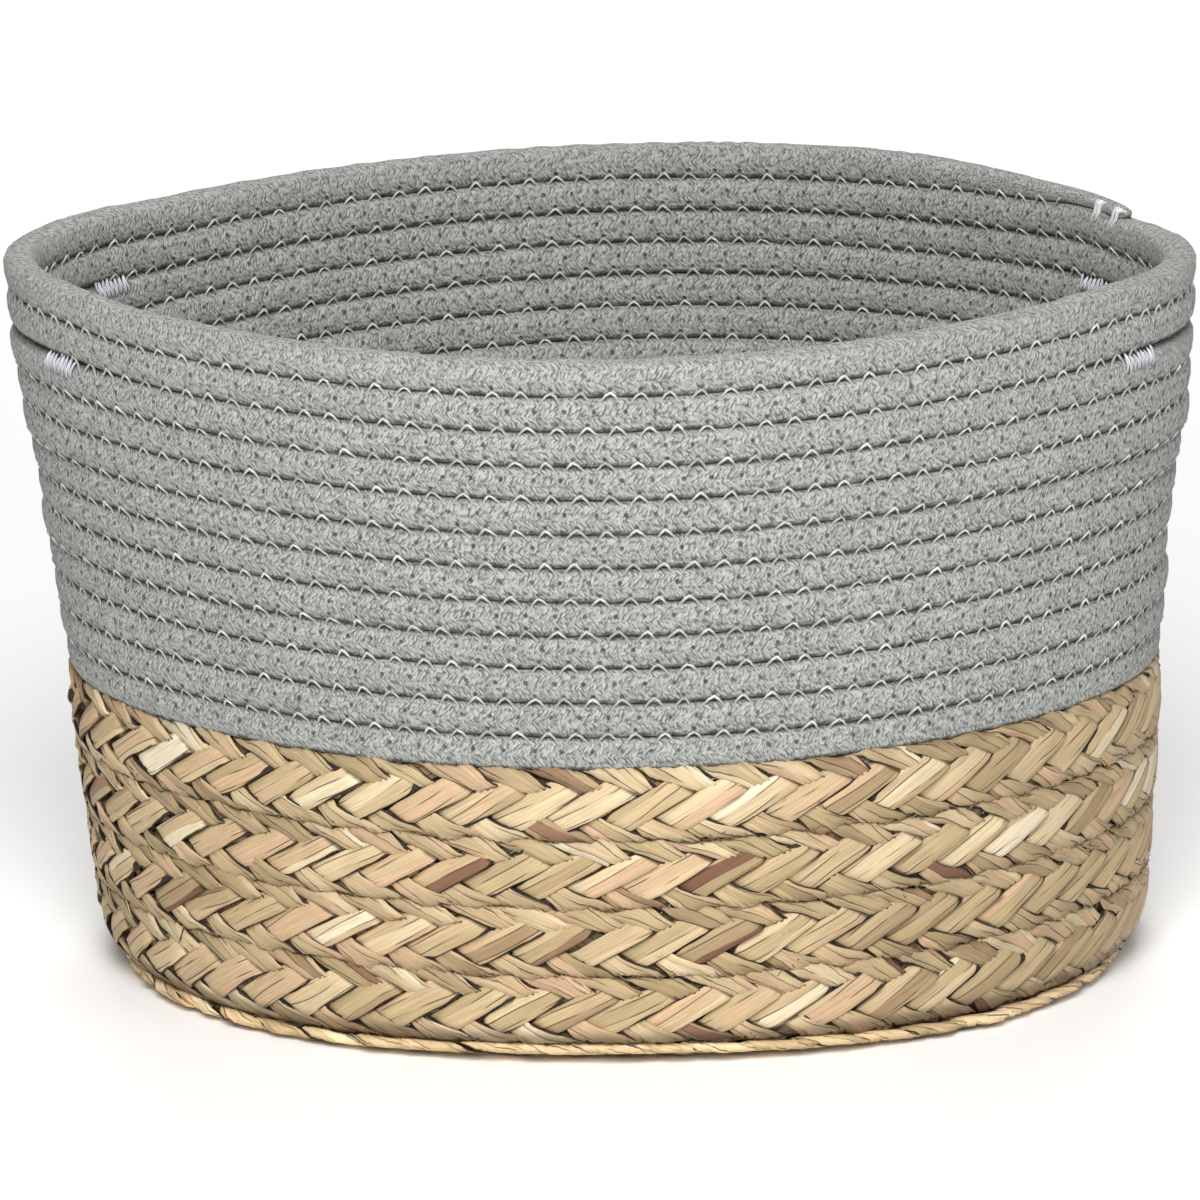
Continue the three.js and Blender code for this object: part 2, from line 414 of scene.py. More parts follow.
class Graph:
    """Node tree of a material."""

    def __init__(self, name: str) -> None:
        """Makes a material with an empty tree.

        Args:
            name: name of the material.
        """
        self.material = bpy.data.materials.new(name)
        self.material.use_nodes = True
        self.tree = self.material.node_tree
        self.tree.nodes.clear()

    def node(self, kind: str, settings: dict, sockets: dict, output: int | str = 0) -> Wire:
        """Adds a node.

        Args:
            kind: type of the node.
            settings: its attributes, and "stops" for a ramp.
            sockets: values or links of its inputs.
            output: which output is wanted.

        Returns:
            That output.
        """
        node = self.tree.nodes.new(kind)
        for name, value in settings.items():
            if name == "stops":
                self._set_stops(node.color_ramp, value)
            else:
                setattr(node, name, value)
        for name, value in sockets.items():
            if isinstance(value, Wire):
                self.tree.links.new(value.socket, node.inputs[name])
            else:
                node.inputs[name].default_value = value
        return Wire(self, node.outputs[output])

    @staticmethod
    def _set_stops(ramp: bpy.types.ColorRamp, stops: tuple) -> None:
        """Sets a ramp's places and colours.

        Args:
            ramp: ramp of a new node.
            stops: place and colour of each stop.
        """
        while len(ramp.elements) < len(stops):
            ramp.elements.new(1.0)
        for element, (place, colour) in zip(ramp.elements, stops):
            element.position = place
            element.color = (*colour, 1.0)

    def run_map(self, name: str = RUN_MAP) -> tuple[Wire, Wire]:
        """One of the piece's own maps: length along the strand, and place across it."""
        place = self.node("ShaderNodeUVMap", {"uv_map": name}, {})
        return self.part(place, 0), self.part(place, 1)

    def part(self, vector: Wire, axis: int) -> Wire:
        """One of the three numbers of a vector or colour."""
        return self.node("ShaderNodeSeparateXYZ", {}, {0: vector}, axis)

    def point(self, x: Any, y: Any, z: Any = 0.0) -> Wire:
        """Vector from three numbers."""
        return self.node("ShaderNodeCombineXYZ", {}, {0: x, 1: y, 2: z})

    def noise(
        self, x: Any, y: Any = 0.0, z: Any = 0.0, detail: float = 2.0, rough: float = 0.5
    ) -> Wire:
        """Cloudy noise from 0 to 1 at a place, with clouds about 1 wide."""
        sockets = {"Vector": self.point(x, y, z), "Scale": 1.0, "Detail": detail, "Roughness": rough}
        return self.node("ShaderNodeTexNoise", {}, sockets)

    def streaks(
        self,
        along: Wire,
        across: Wire,
        scale: tuple,
        shift: Any = 0.0,
        detail: float = 2.0,
        rough: float = 0.5,
    ) -> Wire:
        """Noise on a map, with one scale along it and one across it, shifted across it."""
        return self.noise(along * scale[0], across * scale[1] + shift, detail=detail, rough=rough)

    def ply(self, along: Wire, across: Wire, twist: float) -> Wire:
        """Twist of a thread: 0 in its grooves and 1 on its plies."""
        return ((along / twist + across * 2) * math.pi).math("SINE").math("ABSOLUTE")

    def scaled(self, tone: Any, light: Wire) -> Wire:
        """Colour made lighter or darker."""
        return self.mix(1.0, tone, self.point(light, light, light), "MULTIPLY")

    def ramp(self, share: Wire, stops: tuple) -> Wire:
        """Colour picked by a share from 0 to 1."""
        return self.node("ShaderNodeValToRGB", {"stops": stops}, {0: share})

    def mix(self, share: Any, start: Any, end: Any, way: str = "MIX") -> Wire:
        """Mix of two colours."""
        settings = {"data_type": "RGBA", "blend_type": way}
        return self.node("ShaderNodeMix", settings, {0: share, 6: start, 7: end}, 2)

    def bump(self, height: Wire, distance: float, strength: float = 1.0) -> Wire:
        """Normal from a height."""
        sockets = {"Height": height, "Distance": distance, "Strength": strength}
        return self.node("ShaderNodeBump", {}, sockets)

    def surface(self, sockets: dict) -> bpy.types.Material:
        """Ends the tree with a Principled shader.

        Args:
            sockets: values or links of the shader's inputs.

        Returns:
            The finished material.
        """
        shader = self.node("ShaderNodeBsdfPrincipled", {}, sockets)
        end = self.tree.nodes.new("ShaderNodeOutputMaterial")
        self.tree.links.new(shader.socket, end.inputs["Surface"])
        return self.material


@dataclass(frozen=True)
class CottonFinish:
    """Grey braided cotton: slanted grains in ten columns, with painted shade in the grooves between
    grains, in the seams and in the needle holes.
    """

    girth: float
    hole_place: float
    loop_place: float
    stitch_length: float

    # In every finish an edge is where a mask starts and ends, a light is the least and the most
    # of it, and a scale is how many clouds of noise lie in a metre, or across one leaf strand.
    colour: tuple = (0.369, 0.378, 0.355)
    groove_shade_colour: tuple = (0.125, 0.13, 0.12)
    groove_edge: tuple = (0.32, 0.72)
    groove_shade_strength: float = 0.85
    columns: int = 10
    slant: float = 1.9 * MM
    grain_thickness: float = 0.68 * MM
    grain_length: float = 1.45 * MM
    grain_disorder: float = 0.85
    grain_light: tuple = (0.74, 1.26)
    grain_relief: float = 0.9
    own_relief: float = 0.3
    loose_scale: tuple = (500, 500)
    loose_grains: tuple = (2.2, 1.0)
    yarn_scale: tuple = (1700, 1700)
    yarn_light: tuple = (0.74, 1.26)
    yarn_relief: float = 0.35
    relief_depth: float = 0.5 * MM
    fuzz_scale: tuple = (300, 360)
    fuzz_light: tuple = (0.84, 1.16)
    drift_scale: tuple = (28, 40)
    drift_light: tuple = (0.92, 1.08)
    hole_size: float = 0.7 * MM
    hole_edge: tuple = (0.45, 1.15)
    hole_shade: float = 0.7
    hole_relief: float = 1.5
    seam_place: float = 0.75
    seam_start: float = 4.6 * MM
    seam_end: float = 5.6 * MM
    seam_fuzz: float = 0.9 * MM
    seam_shade: tuple = (0.28, 1.0)
    shut_scale: float = 230
    shut_edge: tuple = (0.42, 0.6)
    shut_share: float = 0.7

    def material(self) -> bpy.types.Material:
        """Makes the material.

        Returns:
            The material.
        """
        graph = Graph("braided_cotton")
        along, across = graph.run_map()
        swing = (across * (self.columns / self.girth)).math("PINGPONG", 1.0)
        loose = graph.streaks(along, across, self.loose_scale)
        place = graph.point(
            (along + swing * self.slant) / self.grain_thickness + loose * self.loose_grains[0],
            across / self.grain_length + loose * self.loose_grains[1],
        )
        sockets = {"Vector": place, "Scale": 1.0, "Randomness": self.grain_disorder}
        flat = {"voronoi_dimensions": "2D"}
        distance = graph.node("ShaderNodeTexVoronoi", flat, sockets, "Distance")
        own = graph.part(graph.node("ShaderNodeTexVoronoi", flat, sockets, "Color"), 0)
        yarn = graph.streaks(along, across, self.yarn_scale, rough=0.6)
        fuzz = graph.streaks(along, across, self.fuzz_scale, detail=3.0, rough=0.7)
        drift = graph.streaks(along, across, self.drift_scale)
        holes = self.needle_holes(graph, across)
        # Painted shade in the grooves between the grains: the colour darkens away from each grain's
        # middle.
        groove = distance.between(*self.groove_edge) * self.groove_shade_strength
        height = (1 - distance * distance) * self.grain_relief + own * self.own_relief
        height = height + yarn * self.yarn_relief - holes * self.hole_relief
        tone = graph.mix(groove, (*self.colour, 1), (*self.groove_shade_colour, 1))
        light = blend(*self.grain_light, own) * blend(*self.yarn_light, yarn)
        light = light * blend(*self.fuzz_light, fuzz) * blend(*self.drift_light, drift)
        # Painted shade along each seam, on the rope's underside.
        light = light * self.seam_light(graph, along, across, fuzz)
        tone = graph.scaled(tone, light * (1 - holes * self.hole_shade))
        sockets = {
            "Base Color": tone,
            "Roughness": 0.92,
            "Specular IOR Level": 0.2,
            "Sheen Weight": 0.1,
            "Sheen Roughness": 0.6,
            "Normal": graph.bump(height, self.relief_depth, 0.9),
        }
        return graph.surface(sockets)

    def seam_light(self, graph: Graph, along: Wire, across: Wire, fuzz: Wire) -> Wire:
        """Painted shade of the rope's underside in the seam, with places where the seam is drawn shut.

        Args:
            graph: tree of the material.
            along: length along the rope.
            across: place round the rope.
            fuzz: noise that makes the shade's limit uneven.

        Returns:
            Light from the seam's darkest to 1.
        """
        away = (across - self.seam_place * self.girth).math("ABSOLUTE")
        away = away + fuzz * self.seam_fuzz - self.seam_fuzz / 2
        shut = graph.noise(along * self.shut_scale, self.girth, detail=1.0).between(*self.shut_edge)
        under = blend(away.between(self.seam_start, self.seam_end), 1.0, shut * self.shut_share)
        return blend(*self.seam_shade, under)

    def needle_holes(self, graph: Graph, across: Wire) -> Wire:
        """Spots where the sewing thread goes into the rope, outside and inside.

        Args:
            graph: tree of the material.
            across: place round the rope.

        Returns:
            1 in the middle of each hole.
        """
        spots = None
        rows = ((NEEDLE_MAP, self.hole_place, 0.0), (LOOP_MAP, self.loop_place, 0.5))
        for name, outside, shift in rows:
            middles = (outside % self.girth, self.girth / 2 - outside)
            for count, middle in zip(graph.run_map(name), middles):
                aside = ((count + shift).math("FRACT") - 0.5) * self.stitch_length
                above = across - middle
                away = (aside * aside + above * above).math("SQRT")
                spot = 1 - (away / self.hole_size).between(*self.hole_edge)
                spots = spot if spots is None else spots + spot
        return spots


@dataclass(frozen=True)
class SeamFinish:
    """Sewing thread of the seams: its own dull grey along its legs, and a painted highlight where it
    comes up.
    """

    stitch_length: float
    leg_colour: tuple = (0.36, 0.37, 0.35)
    loop_highlight_colour: tuple = (0.72, 0.73, 0.70)
    loop_highlight_edge: tuple = (0.5, 0.85)
    patch_scale: float = 90
    patch_edge: tuple = (0.36, 0.62)
    twist: float = 1.3 * MM
    twist_groove_shade: tuple = (0.75, 1.05)
    twist_depth: float = 0.12 * MM

    def material(self) -> bpy.types.Material:
        """Makes the material.

        Returns:
            The material.
        """
        graph = Graph("seam_thread")
        along, across = graph.run_map()
        beat = ((along / self.stitch_length).math("FRACT") - 0.5).math("ABSOLUTE") * 2
        ply = graph.ply(along, across, self.twist)
        patch = graph.noise(along * self.patch_scale)
        # Painted highlight, in patches, on each loop where the thread comes up over the seam.
        loop = beat.between(*self.loop_highlight_edge) * patch.between(*self.patch_edge)
        tone = graph.mix(loop, (*self.leg_colour, 1), (*self.loop_highlight_colour, 1))
        # Painted shade in the grooves of the twist.
        tone = graph.scaled(tone, blend(*self.twist_groove_shade, ply))
        sockets = {
            "Base Color": tone,
            "Roughness": 0.85,
            "Specular IOR Level": 0.25,
            "Normal": graph.bump(ply, self.twist_depth, 0.7),
        }
        return graph.surface(sockets)


@dataclass(frozen=True)
class TackFinish:
    """Pale thread of the tacks, duller at the lower end of each stroke."""

    name: str
    stroke: float
    colour: tuple = (0.60, 0.61, 0.66)
    dull_colour: tuple = (0.36, 0.36, 0.37)
    pale_height: tuple = (0.1, 0.8)
    patch_scale: float = 110
    patch_share: tuple = (0.3, 1.4)
    patch_light: tuple = (0.5, 1.6)
    twist: float = 1.1 * MM
    twist_groove_shade: tuple = (0.8, 1.0)
    twist_depth: float = 0.12 * MM

    def material(self) -> bpy.types.Material:
        """Makes the material.

        Returns:
            The material.
        """
        graph = Graph(self.name)
        along, across = graph.run_map()
        ply = graph.ply(along, across, self.twist)
        patch = graph.noise(along * self.patch_scale, detail=1.0)
        height = 1 - along.math("PINGPONG", self.stroke) / self.stroke
        share = height.between(*self.pale_height) * blend(*self.patch_share, patch)
        tone = graph.mix(share, (*self.dull_colour, 1), (*self.colour, 1))
        # Painted shade in the grooves of the twist, and random patches.
        tone = graph.scaled(tone, blend(*self.twist_groove_shade, ply) * blend(*self.patch_light, patch))
        sockets = {
            "Base Color": tone,
            "Roughness": 0.8,
            "Specular IOR Level": 0.25,
            "Normal": graph.bump(ply, self.twist_depth, 0.7),
        }
        return graph.surface(sockets)


@dataclass(frozen=True)
class StrawThreadFinish:
    """Straw-coloured thread that sews the plaits."""

    colour: tuple = (0.34, 0.24, 0.13)
    patch_scale: float = 130
    patch_light: tuple = (0.5, 1.4)
    twist: float = 1.2 * MM
    twist_groove_shade: tuple = (0.7, 1.0)
    twist_depth: float = 0.1 * MM

    def material(self) -> bpy.types.Material:
        """Makes the material.

        Returns:
            The material.
        """
        graph = Graph("straw_thread")
        along, across = graph.run_map()
        ply = graph.ply(along, across, self.twist)
        patch = graph.noise(along * self.patch_scale)
        # Painted shade in the grooves of the twist, and random patches.
        light = blend(*self.twist_groove_shade, ply) * blend(*self.patch_light, patch)
        tone = graph.scaled((*self.colour, 1), light)
        sockets = {
            "Base Color": tone,
            "Roughness": 0.85,
            "Specular IOR Level": 0.2,
            "Normal": graph.bump(ply, self.twist_depth, 0.7),
        }
        return graph.surface(sockets)


@dataclass(frozen=True)
class FibreFinish:
    """Dark weathered fibres that stand off the rush."""

    dark_colour: tuple = (0.035, 0.02, 0.012)
    pale_colour: tuple = (0.30, 0.19, 0.10)
    patch_scale: float = 300
    patch_edge: tuple = (0.4, 0.75)

    def material(self) -> bpy.types.Material:
        """Makes the material.

        Returns:
            The material.
        """
        graph = Graph("dark_fibre")
        along, across = graph.run_map()
        patch = graph.noise(along * self.patch_scale, across).between(*self.patch_edge)
        tone = graph.mix(patch, (*self.dark_colour, 1), (*self.pale_colour, 1))
        return graph.surface({"Base Color": tone, "Roughness": 0.9, "Specular IOR Level": 0.2})


@dataclass(frozen=True)
class RushFinish:
    """Dried rush leaves: a tint for each visible piece, streaks, and painted shade in the gaps, wedges,
    crossings, splits, folds and foot.
    """

    name: str
    changes: tuple
    strength: float = 1.0
    hem_shade: float = 0.3
    hem_edge: tuple = (0.1, 0.5)
    hem_patches: tuple = (0.05, 1.0)
    foot_shade: float = 0.45
    foot_heights: tuple = (8 * MM, 12 * MM)
    end_darkening: float = 0.16
    end_places: tuple = (20 * MM, 140 * MM)
    leaves: float = 2.3
    leaf_drift: float = 2.6
    drift_scale: float = 22
    own_weight: float = 0.55
    pick_spread: float = 2.3
    pick_middle: float = 0.53
    fibre_scale: tuple = (40, 24)
    fibre_light: tuple = (0.35, 1.65)
    fibre_relief: float = 0.5
    blotch_scale: tuple = (130, 3)
    blotch_light: tuple = (0.84, 1.16)
    blotch_relief: float = 0.2
    most_light: float = 1.22
    middle_edge: tuple = (0.4, 0.6)
    middle_light: tuple = (1.0, 1.06)
    hair_scale: tuple = (70, 70)
    hair_edge: tuple = (0.6, 0.72)
    hair_shade: float = 0.25
    rust_colour: tuple = (0.20, 0.08, 0.035)
    rust_edge: tuple = (0.64, 0.78)
    rust_strength: float = 0.5
    gap_shade_colour: tuple = (0.014, 0.008, 0.005)
    gap_shade_strength: float = 0.98
    gap_edge: tuple = (0.88, 0.95)
    gap_scale: float = 75
    gap_middle: float = 0.52
    gap_change: float = 0.65
    wedge_change: float = 2.2
    wedge_length: float = 0.06
    line_edge: tuple = (0.005, 0.016)
    line_change: float = 0.012
    line_shade: float = 0.75
    split_shade_colour: tuple = (0.06, 0.034, 0.018)
    split_strength: float = 0.8
    split_edge: tuple = (0.84, 0.98)
    split_places: tuple = (0.4, 0.56)
    split_relief: float = 0.7
    relief_depth: float = 0.35 * MM
    roughness: tuple = (0.5, 0.8)
    tones: tuple = (
        (0.00, (0.18, 0.085, 0.045)),
        (0.08, (0.29, 0.155, 0.09)),
        (0.18, (0.37, 0.26, 0.14)),
        (0.30, (0.44, 0.33, 0.175)),
        (0.42, (0.52, 0.39, 0.215)),
        (0.52, (0.61, 0.41, 0.25)),
        (0.61, (0.53, 0.40, 0.225)),
        (0.72, (0.63, 0.475, 0.28)),
        (0.86, (0.70, 0.56, 0.345)),
        (1.00, (0.80, 0.69, 0.49)),
    )

    def material(self) -> bpy.types.Material:
        """Makes the material.

        Returns:
            The material.
        """
        graph = Graph(self.name)
        along, across = graph.run_map()
        # The odd factors below set the strands, pieces and leaves apart in the noise.
        strand = across.math("FLOOR")
        lane = across.math("FRACT")
        part, piece, away = self.pieces(graph, lane)
        fibres = graph.streaks(along, lane, self.fibre_scale, strand * 9, 3.0, 0.6)
        blotch = graph.streaks(along, lane, self.blotch_scale, strand * 5, 3.0, 0.6)
        hairs = graph.streaks(along, lane, self.hair_scale, strand * 9, 1.0)
        drift = graph.noise(along * self.drift_scale, strand * 7.3, detail=1.0)
        fold = lane * self.leaves + drift * self.leaf_drift
        crease = (fold.math("FRACT") - 0.5).math("ABSOLUTE") * 2
        own = graph.noise(piece * 5.37, strand * 17.7, detail=0.0)
        share = graph.noise(piece * 3.71, fold.math("FLOOR") * 5.9, strand * 3.3, detail=0.0)
        pick = (blend(share, own, self.own_weight) - 0.5) * self.pick_spread + self.pick_middle
        bend = (part * 4).math("PINGPONG", 1.0)
        hem = 1 - bend.between(*self.hem_edge)
        light = blend(*self.fibre_light, fibres) * blend(*self.blotch_light, blotch)
        light = light.math("MINIMUM", self.most_light)
        light = light * (1 - hairs.between(*self.hair_edge) * self.hair_shade)
        # Painted shade near the folds at the plait's edges, where the courses meet, and a little
        # painted light across the middle of each course.
        light = light * (1 - hem * blend(*self.hem_patches, blotch) * self.hem_shade)
        light = light * blend(*self.middle_light, bend.between(*self.middle_edge)) * self.strength
        tone = graph.scaled(graph.ramp(pick, self.tones), self.foot_shade_and_dark_end(graph, light))
        rust = blotch.between(*self.rust_edge) * self.rust_strength
        tone = graph.mix(rust, tone, (*self.rust_colour, 1))
        # Painted shade in the gaps between strands: near black along ragged strand edges, wider in
        # wedges near each crossing.
        gap = graph.noise(along * self.gap_scale, strand * 3.1 + lane, detail=1.0)
        wedge_shade = 1 - away.between(0.0, self.wedge_length)
        ragged = (gap - self.gap_middle) * self.gap_change
        ragged = ragged + wedge_shade * (gap - self.gap_middle) * self.wedge_change
        edge = ((lane - 0.5).math("ABSOLUTE") * 2 + ragged).between(*self.gap_edge)
        # Painted shadow along the edge of each crossing strand.
        crossing_shadow = 1 - (away + (gap - 0.5) * self.line_change).between(*self.line_edge)
        split = crease.between(*self.split_edge) * (gap + hem * 0.1).between(*self.split_places)
        tone = graph.scaled(tone, 1 - crossing_shadow * self.line_shade)
        tone = graph.mix(edge * self.gap_shade_strength, tone, (*self.gap_shade_colour, 1))
        # Painted shade in the splits between leaves.
        tone = graph.mix(split * self.split_strength, tone, (*self.split_shade_colour, 1))
        height = fibres * self.fibre_relief + (1 - split) * self.split_relief
        height = height + blotch * self.blotch_relief
        sockets = {
            "Base Color": tone,
            "Roughness": blend(*self.roughness, fibres),
            "Specular IOR Level": 0.35,
            "Normal": graph.bump(height, self.relief_depth, 0.8),
        }
        return graph.surface(sockets)

    def pieces(self, graph: Graph, lane: Wire) -> tuple[Wire, Wire, Wire]:
        """Cuts a strand into the pieces that show between the strands that cross it.

        Args:
            graph: tree of the material.
            lane: place across the strand, from 0 to 1.

        Returns:
            Place in the period, number of the piece, and distance from the nearest crossing.
        """
        turn, slope = graph.run_map(PHASE_MAP)
        turn = turn + (lane - 0.5) * slope / LANE_SHARE
        part = turn.math("FRACT")
        piece = turn.math("FLOOR") * len(self.changes)
        away = part + 1
        for change in self.changes:
            piece = piece + part.math("GREATER_THAN", change)
            away = (part - change).math("ABSOLUTE").math("MINIMUM", away)
        return part, piece, away

    def foot_shade_and_dark_end(self, graph: Graph, light: Wire) -> Wire:
        """Paints shade at the foot of the wall, and darkens the wall towards its right end.

        Args:
            graph: tree of the material.
            light: light of the even rush.

        Returns:
            Light with both shades in it.
        """
        place = graph.node("ShaderNodeTexCoord", {}, {}, "Object")
        # Painted shade at the foot of the wall, in the crevice where it meets the base.
        foot = 1 - graph.part(place, 2).between(*self.foot_heights)
        # Darker towards the right end of the wall.
        end = graph.part(place, 0).between(*self.end_places)
        return light * (1 - foot * self.foot_shade) * (1 - end * self.end_darkening)


@dataclass(frozen=True)
class FloorFinish:
    """Plain pale floor."""

    colour: tuple = (0.94, 0.94, 0.94)
    cloud_colour: tuple = (0.96, 0.96, 0.96)
    cloud_scale: float = 1.5

    def material(self) -> bpy.types.Material:
        """Makes the material.

        Returns:
            The material.
        """
        graph = Graph("pale_floor")
        place = graph.node("ShaderNodeTexCoord", {}, {}, "Object")
        cloud = graph.node("ShaderNodeTexNoise", {}, {"Vector": place, "Scale": self.cloud_scale})
        tone = graph.mix(cloud, (*self.colour, 1), (*self.cloud_colour, 1))
        return graph.surface({"Base Color": tone, "Roughness": 0.9, "Specular IOR Level": 0.1})


@dataclass
class RopeWall:
    """Twelve courses of rope, sewn edge on edge."""

    form: BasketForm
    first: float = 0.6 * MM / 0.9
    courses: int = 12
    half_thickness: float = 5.2 * MM
    half_height: float = 5.08 * MM
    squareness: float = 3.0
    sides: int = 16
    ring_spacing: float = 2.2 * MM
    swelling: tuple = (14 * MM, 0.012)
    pressing: tuple = (6 * MM, 0.045)

    belly: float = 1.3 * MM
    belly_start: tuple = (4.5, 3.5)
    belly_end: tuple = (9.2, 1.5)
    belly_lean: float = 0.35
    waves: tuple = ((0.31, 0.37), (0.22, 1.21), (0.16, 2.83), (0.10, 6.37))

    # A start or an end is a place and the length that it takes from there. The belly's are in
    # courses, and the dip's in steps beyond the rope's end.
    dip: float = 2.6 * MM
    dip_start: tuple = (-0.9, 1.1)
    dip_end: tuple = (2.5, 2.5)

    overlap: float = 0.25 / STEPS
    end_share: float = 0.27
    end_run: float = 2.8 / STEPS
    end_width: float = 0.5
    tip_share: float = 0.2
    tip_run: float = 0.2 / STEPS
    rounding: float = 3 * MM
    rounded_share: float = 0.15

    slit_opening: float = 1.2 * MM
    slit_course: int = 10
    slit_reach: float = 2 / STEPS
    slit_fade: float = 1 / STEPS

    seam_first: float = 1.02
    seam_left: float = 0.02
    seam_bridge: float = 0.9 * MM
    seam_blend: float = 2 * MM
    stitch_length: float = 8.4 * MM
    stitch_points: int = 8
    stitch_slip: float = 0.35 * MM
    stitch_stray: float = 0.22 * MM
    thread_radius: float = 0.4 * MM
    apex_rise: float = 1.8 * MM
    apex_bend: float = 1.4
    apex_start: tuple = (0.85, 0.15)
    apex_sink: float = 0.35
    loop_rise: float = 2.7 * MM
    hole_drop: float = 3.7 * MM
    hole_share: float = 0.25
    hole_lift: float = -1.6
    leg_start: tuple = (0.3, 0.35)
    leg_lifts: tuple = (-1.25, 0.6)
    stray_lift: float = 0.5
    seed: int = 11

    def __post_init__(self) -> None:
        """Spaces the stitches of both faces."""
        self.seams = {side: SeamRun(self, side) for side in Side}

    @property
    def last(self) -> float:
        """Turn where the rope ends."""
        return self.courses + self.overlap

    def sway(self, turns: np.ndarray) -> np.ndarray:
        """How far the rope stands out of the even wall.

        Args:
            turns: places along the rope.

        Returns:
            One distance for each place.
        """
        belly = self.belly * grow(turns, *self.belly_start) * (1 - grow(turns, *self.belly_end))
        belly = belly * (1 + self.belly_lean * np.cos(self.form.angle(turns)))
        return belly + MM * ripple(turns, self.waves, 9)

    def from_tip(self, turns: np.ndarray) -> np.ndarray:
        """Distance in turns from the nearer end of the long axis."""
        shifted = np.mod(self.form.start_turn - turns + 0.25, 0.5)
        return np.abs(shifted - 0.25)

    def slit_lift(self, turns: np.ndarray) -> np.ndarray:
        """Rise of the two courses above a slit.

        Args:
            turns: places along the rope.

        Returns:
            One height for each place.
        """
        fade = 1 - grow(self.from_tip(turns), self.slit_reach, self.slit_fade)
        above = turns >= self.slit_course - self.slit_fade
        return np.where(above, self.slit_opening * fade, 0.0)

    def underside(self, turns: np.ndarray) -> np.ndarray:
        """Height of the underside of the rope."""
        rise = self.form.border_height + self.form.rope_pitch * self.form.level(turns)
        return rise + self.slit_lift(turns) - self.sag(turns)

    def sag(self, turns: np.ndarray) -> np.ndarray:
        """Dip of the wall beside and beyond the rope's end, less for the lower courses.

        Args:
            turns: places along the rope.

        Returns:
            One depth for each place.
        """
        beyond = (np.mod(turns - self.courses - self.overlap + 0.5, 1.0) - 0.5) * STEPS
        bump = grow(beyond, *self.dip_start) * (1 - grow(beyond, *self.dip_end))
        return self.dip * bump * np.clip(turns / self.courses, 0.0, 1.0)

    def reach(self, offset: np.ndarray) -> np.ndarray:
        """How far the face stands out from the rope's middle, at a height from its middle."""
        share = np.clip(np.abs(offset) / self.half_height, 0.0, 1.0)
        return self.half_thickness * (1 - share**self.squareness) ** (1 / self.squareness)

    def thinning(self, turns: np.ndarray) -> np.ndarray:
        """Share of the full height that is left towards the rope's end.

        Args:
            turns: places along the rope.

        Returns:
            One share for each place.
        """
        left = turns - self.courses - self.overlap
        thin = blend(1.0, self.end_share, ease(left / self.end_run + 1))
        return blend(thin, self.tip_share, ease(left / self.tip_run + 1))

    def in_slit(self, turns: np.ndarray) -> np.ndarray:
        """Whether the seam under a course is an open slit."""
        return (np.floor(turns) == self.slit_course) & (self.from_tip(turns) < self.slit_reach)

    def place(self, turns: np.ndarray, height: np.ndarray, depth: np.ndarray) -> np.ndarray:
        """Point at a height above the floor and a depth from the swaying face."""
        return self.form.wall(turns, height, depth - self.sway(turns))

    def seam_point(
        self, turns: np.ndarray, rise: np.ndarray, lift: np.ndarray, side: Side
    ) -> np.ndarray:
        """Point on the rope's face near the seam under a course.

        Args:
            turns: places along the course above the seam.
            rise: heights above the seam, negative on the course below.
            lift: how far the point stands off the face.
            side: face of the wall.

        Returns:
            One point for each place.
        """
        bridge = self.reach(self.half_height - self.seam_bridge)
        face = np.maximum(self.reach(self.half_height - np.abs(rise)), bridge)
        upper = ease(rise / self.seam_blend + 0.5)
        sway = blend(self.sway(turns - 1), self.sway(turns), upper)
        depth = self.half_thickness - side.value * (face + lift) - sway
        return self.form.wall(turns, self.underside(turns) + rise, depth)

    def turns_at(self, turn: float, nudge: float, height: float, lengths: np.ndarray) -> np.ndarray:
        """Turns at lengths along the wall.

        Args:
            turn: where the lengths are measured from.
            nudge: small step, in turns, over which the wall's own length is measured.
            height: height at which it is measured.
            lengths: lengths from the place, forwards.

        Returns:
            One place for each length.
        """
        nearby = self.place(np.array([turn, turn + nudge]), np.full(2, height), np.zeros(2))
        pace = float(np.linalg.norm(np.diff(nearby, axis=0)))
        return turn + lengths / pace * abs(nudge)

    def section(self) -> tuple[np.ndarray, np.ndarray]:
        """Corners of the rounded square section.

        Returns:
            Their places outwards and upwards, as shares of the half sizes.
        """
        around = np.arange(self.sides) / self.sides * 2 * np.pi
        power = 2 / self.squareness
        out = np.sign(np.cos(around)) * np.abs(np.cos(around)) ** power
        up = np.sign(np.sin(around)) * np.abs(np.sin(around)) ** power
        return out, up

    def girth(self) -> np.ndarray:
        """Measures round the section.

        Returns:
            Distance to each of its corners, and to the first again.
        """
        out, up = self.section()
        corners = np.stack([self.half_thickness * out, self.half_height * up], axis=1)
        sides = np.linalg.norm(np.roll(corners, -1, axis=0) - corners, axis=1)
        return np.concatenate([[0.0], np.cumsum(sides)])

    def lower_line(self, turns: np.ndarray) -> np.ndarray:
        """Points along the underside of the rope, on the face of the wall."""
        return self.place(turns, self.underside(turns), 0 * turns)

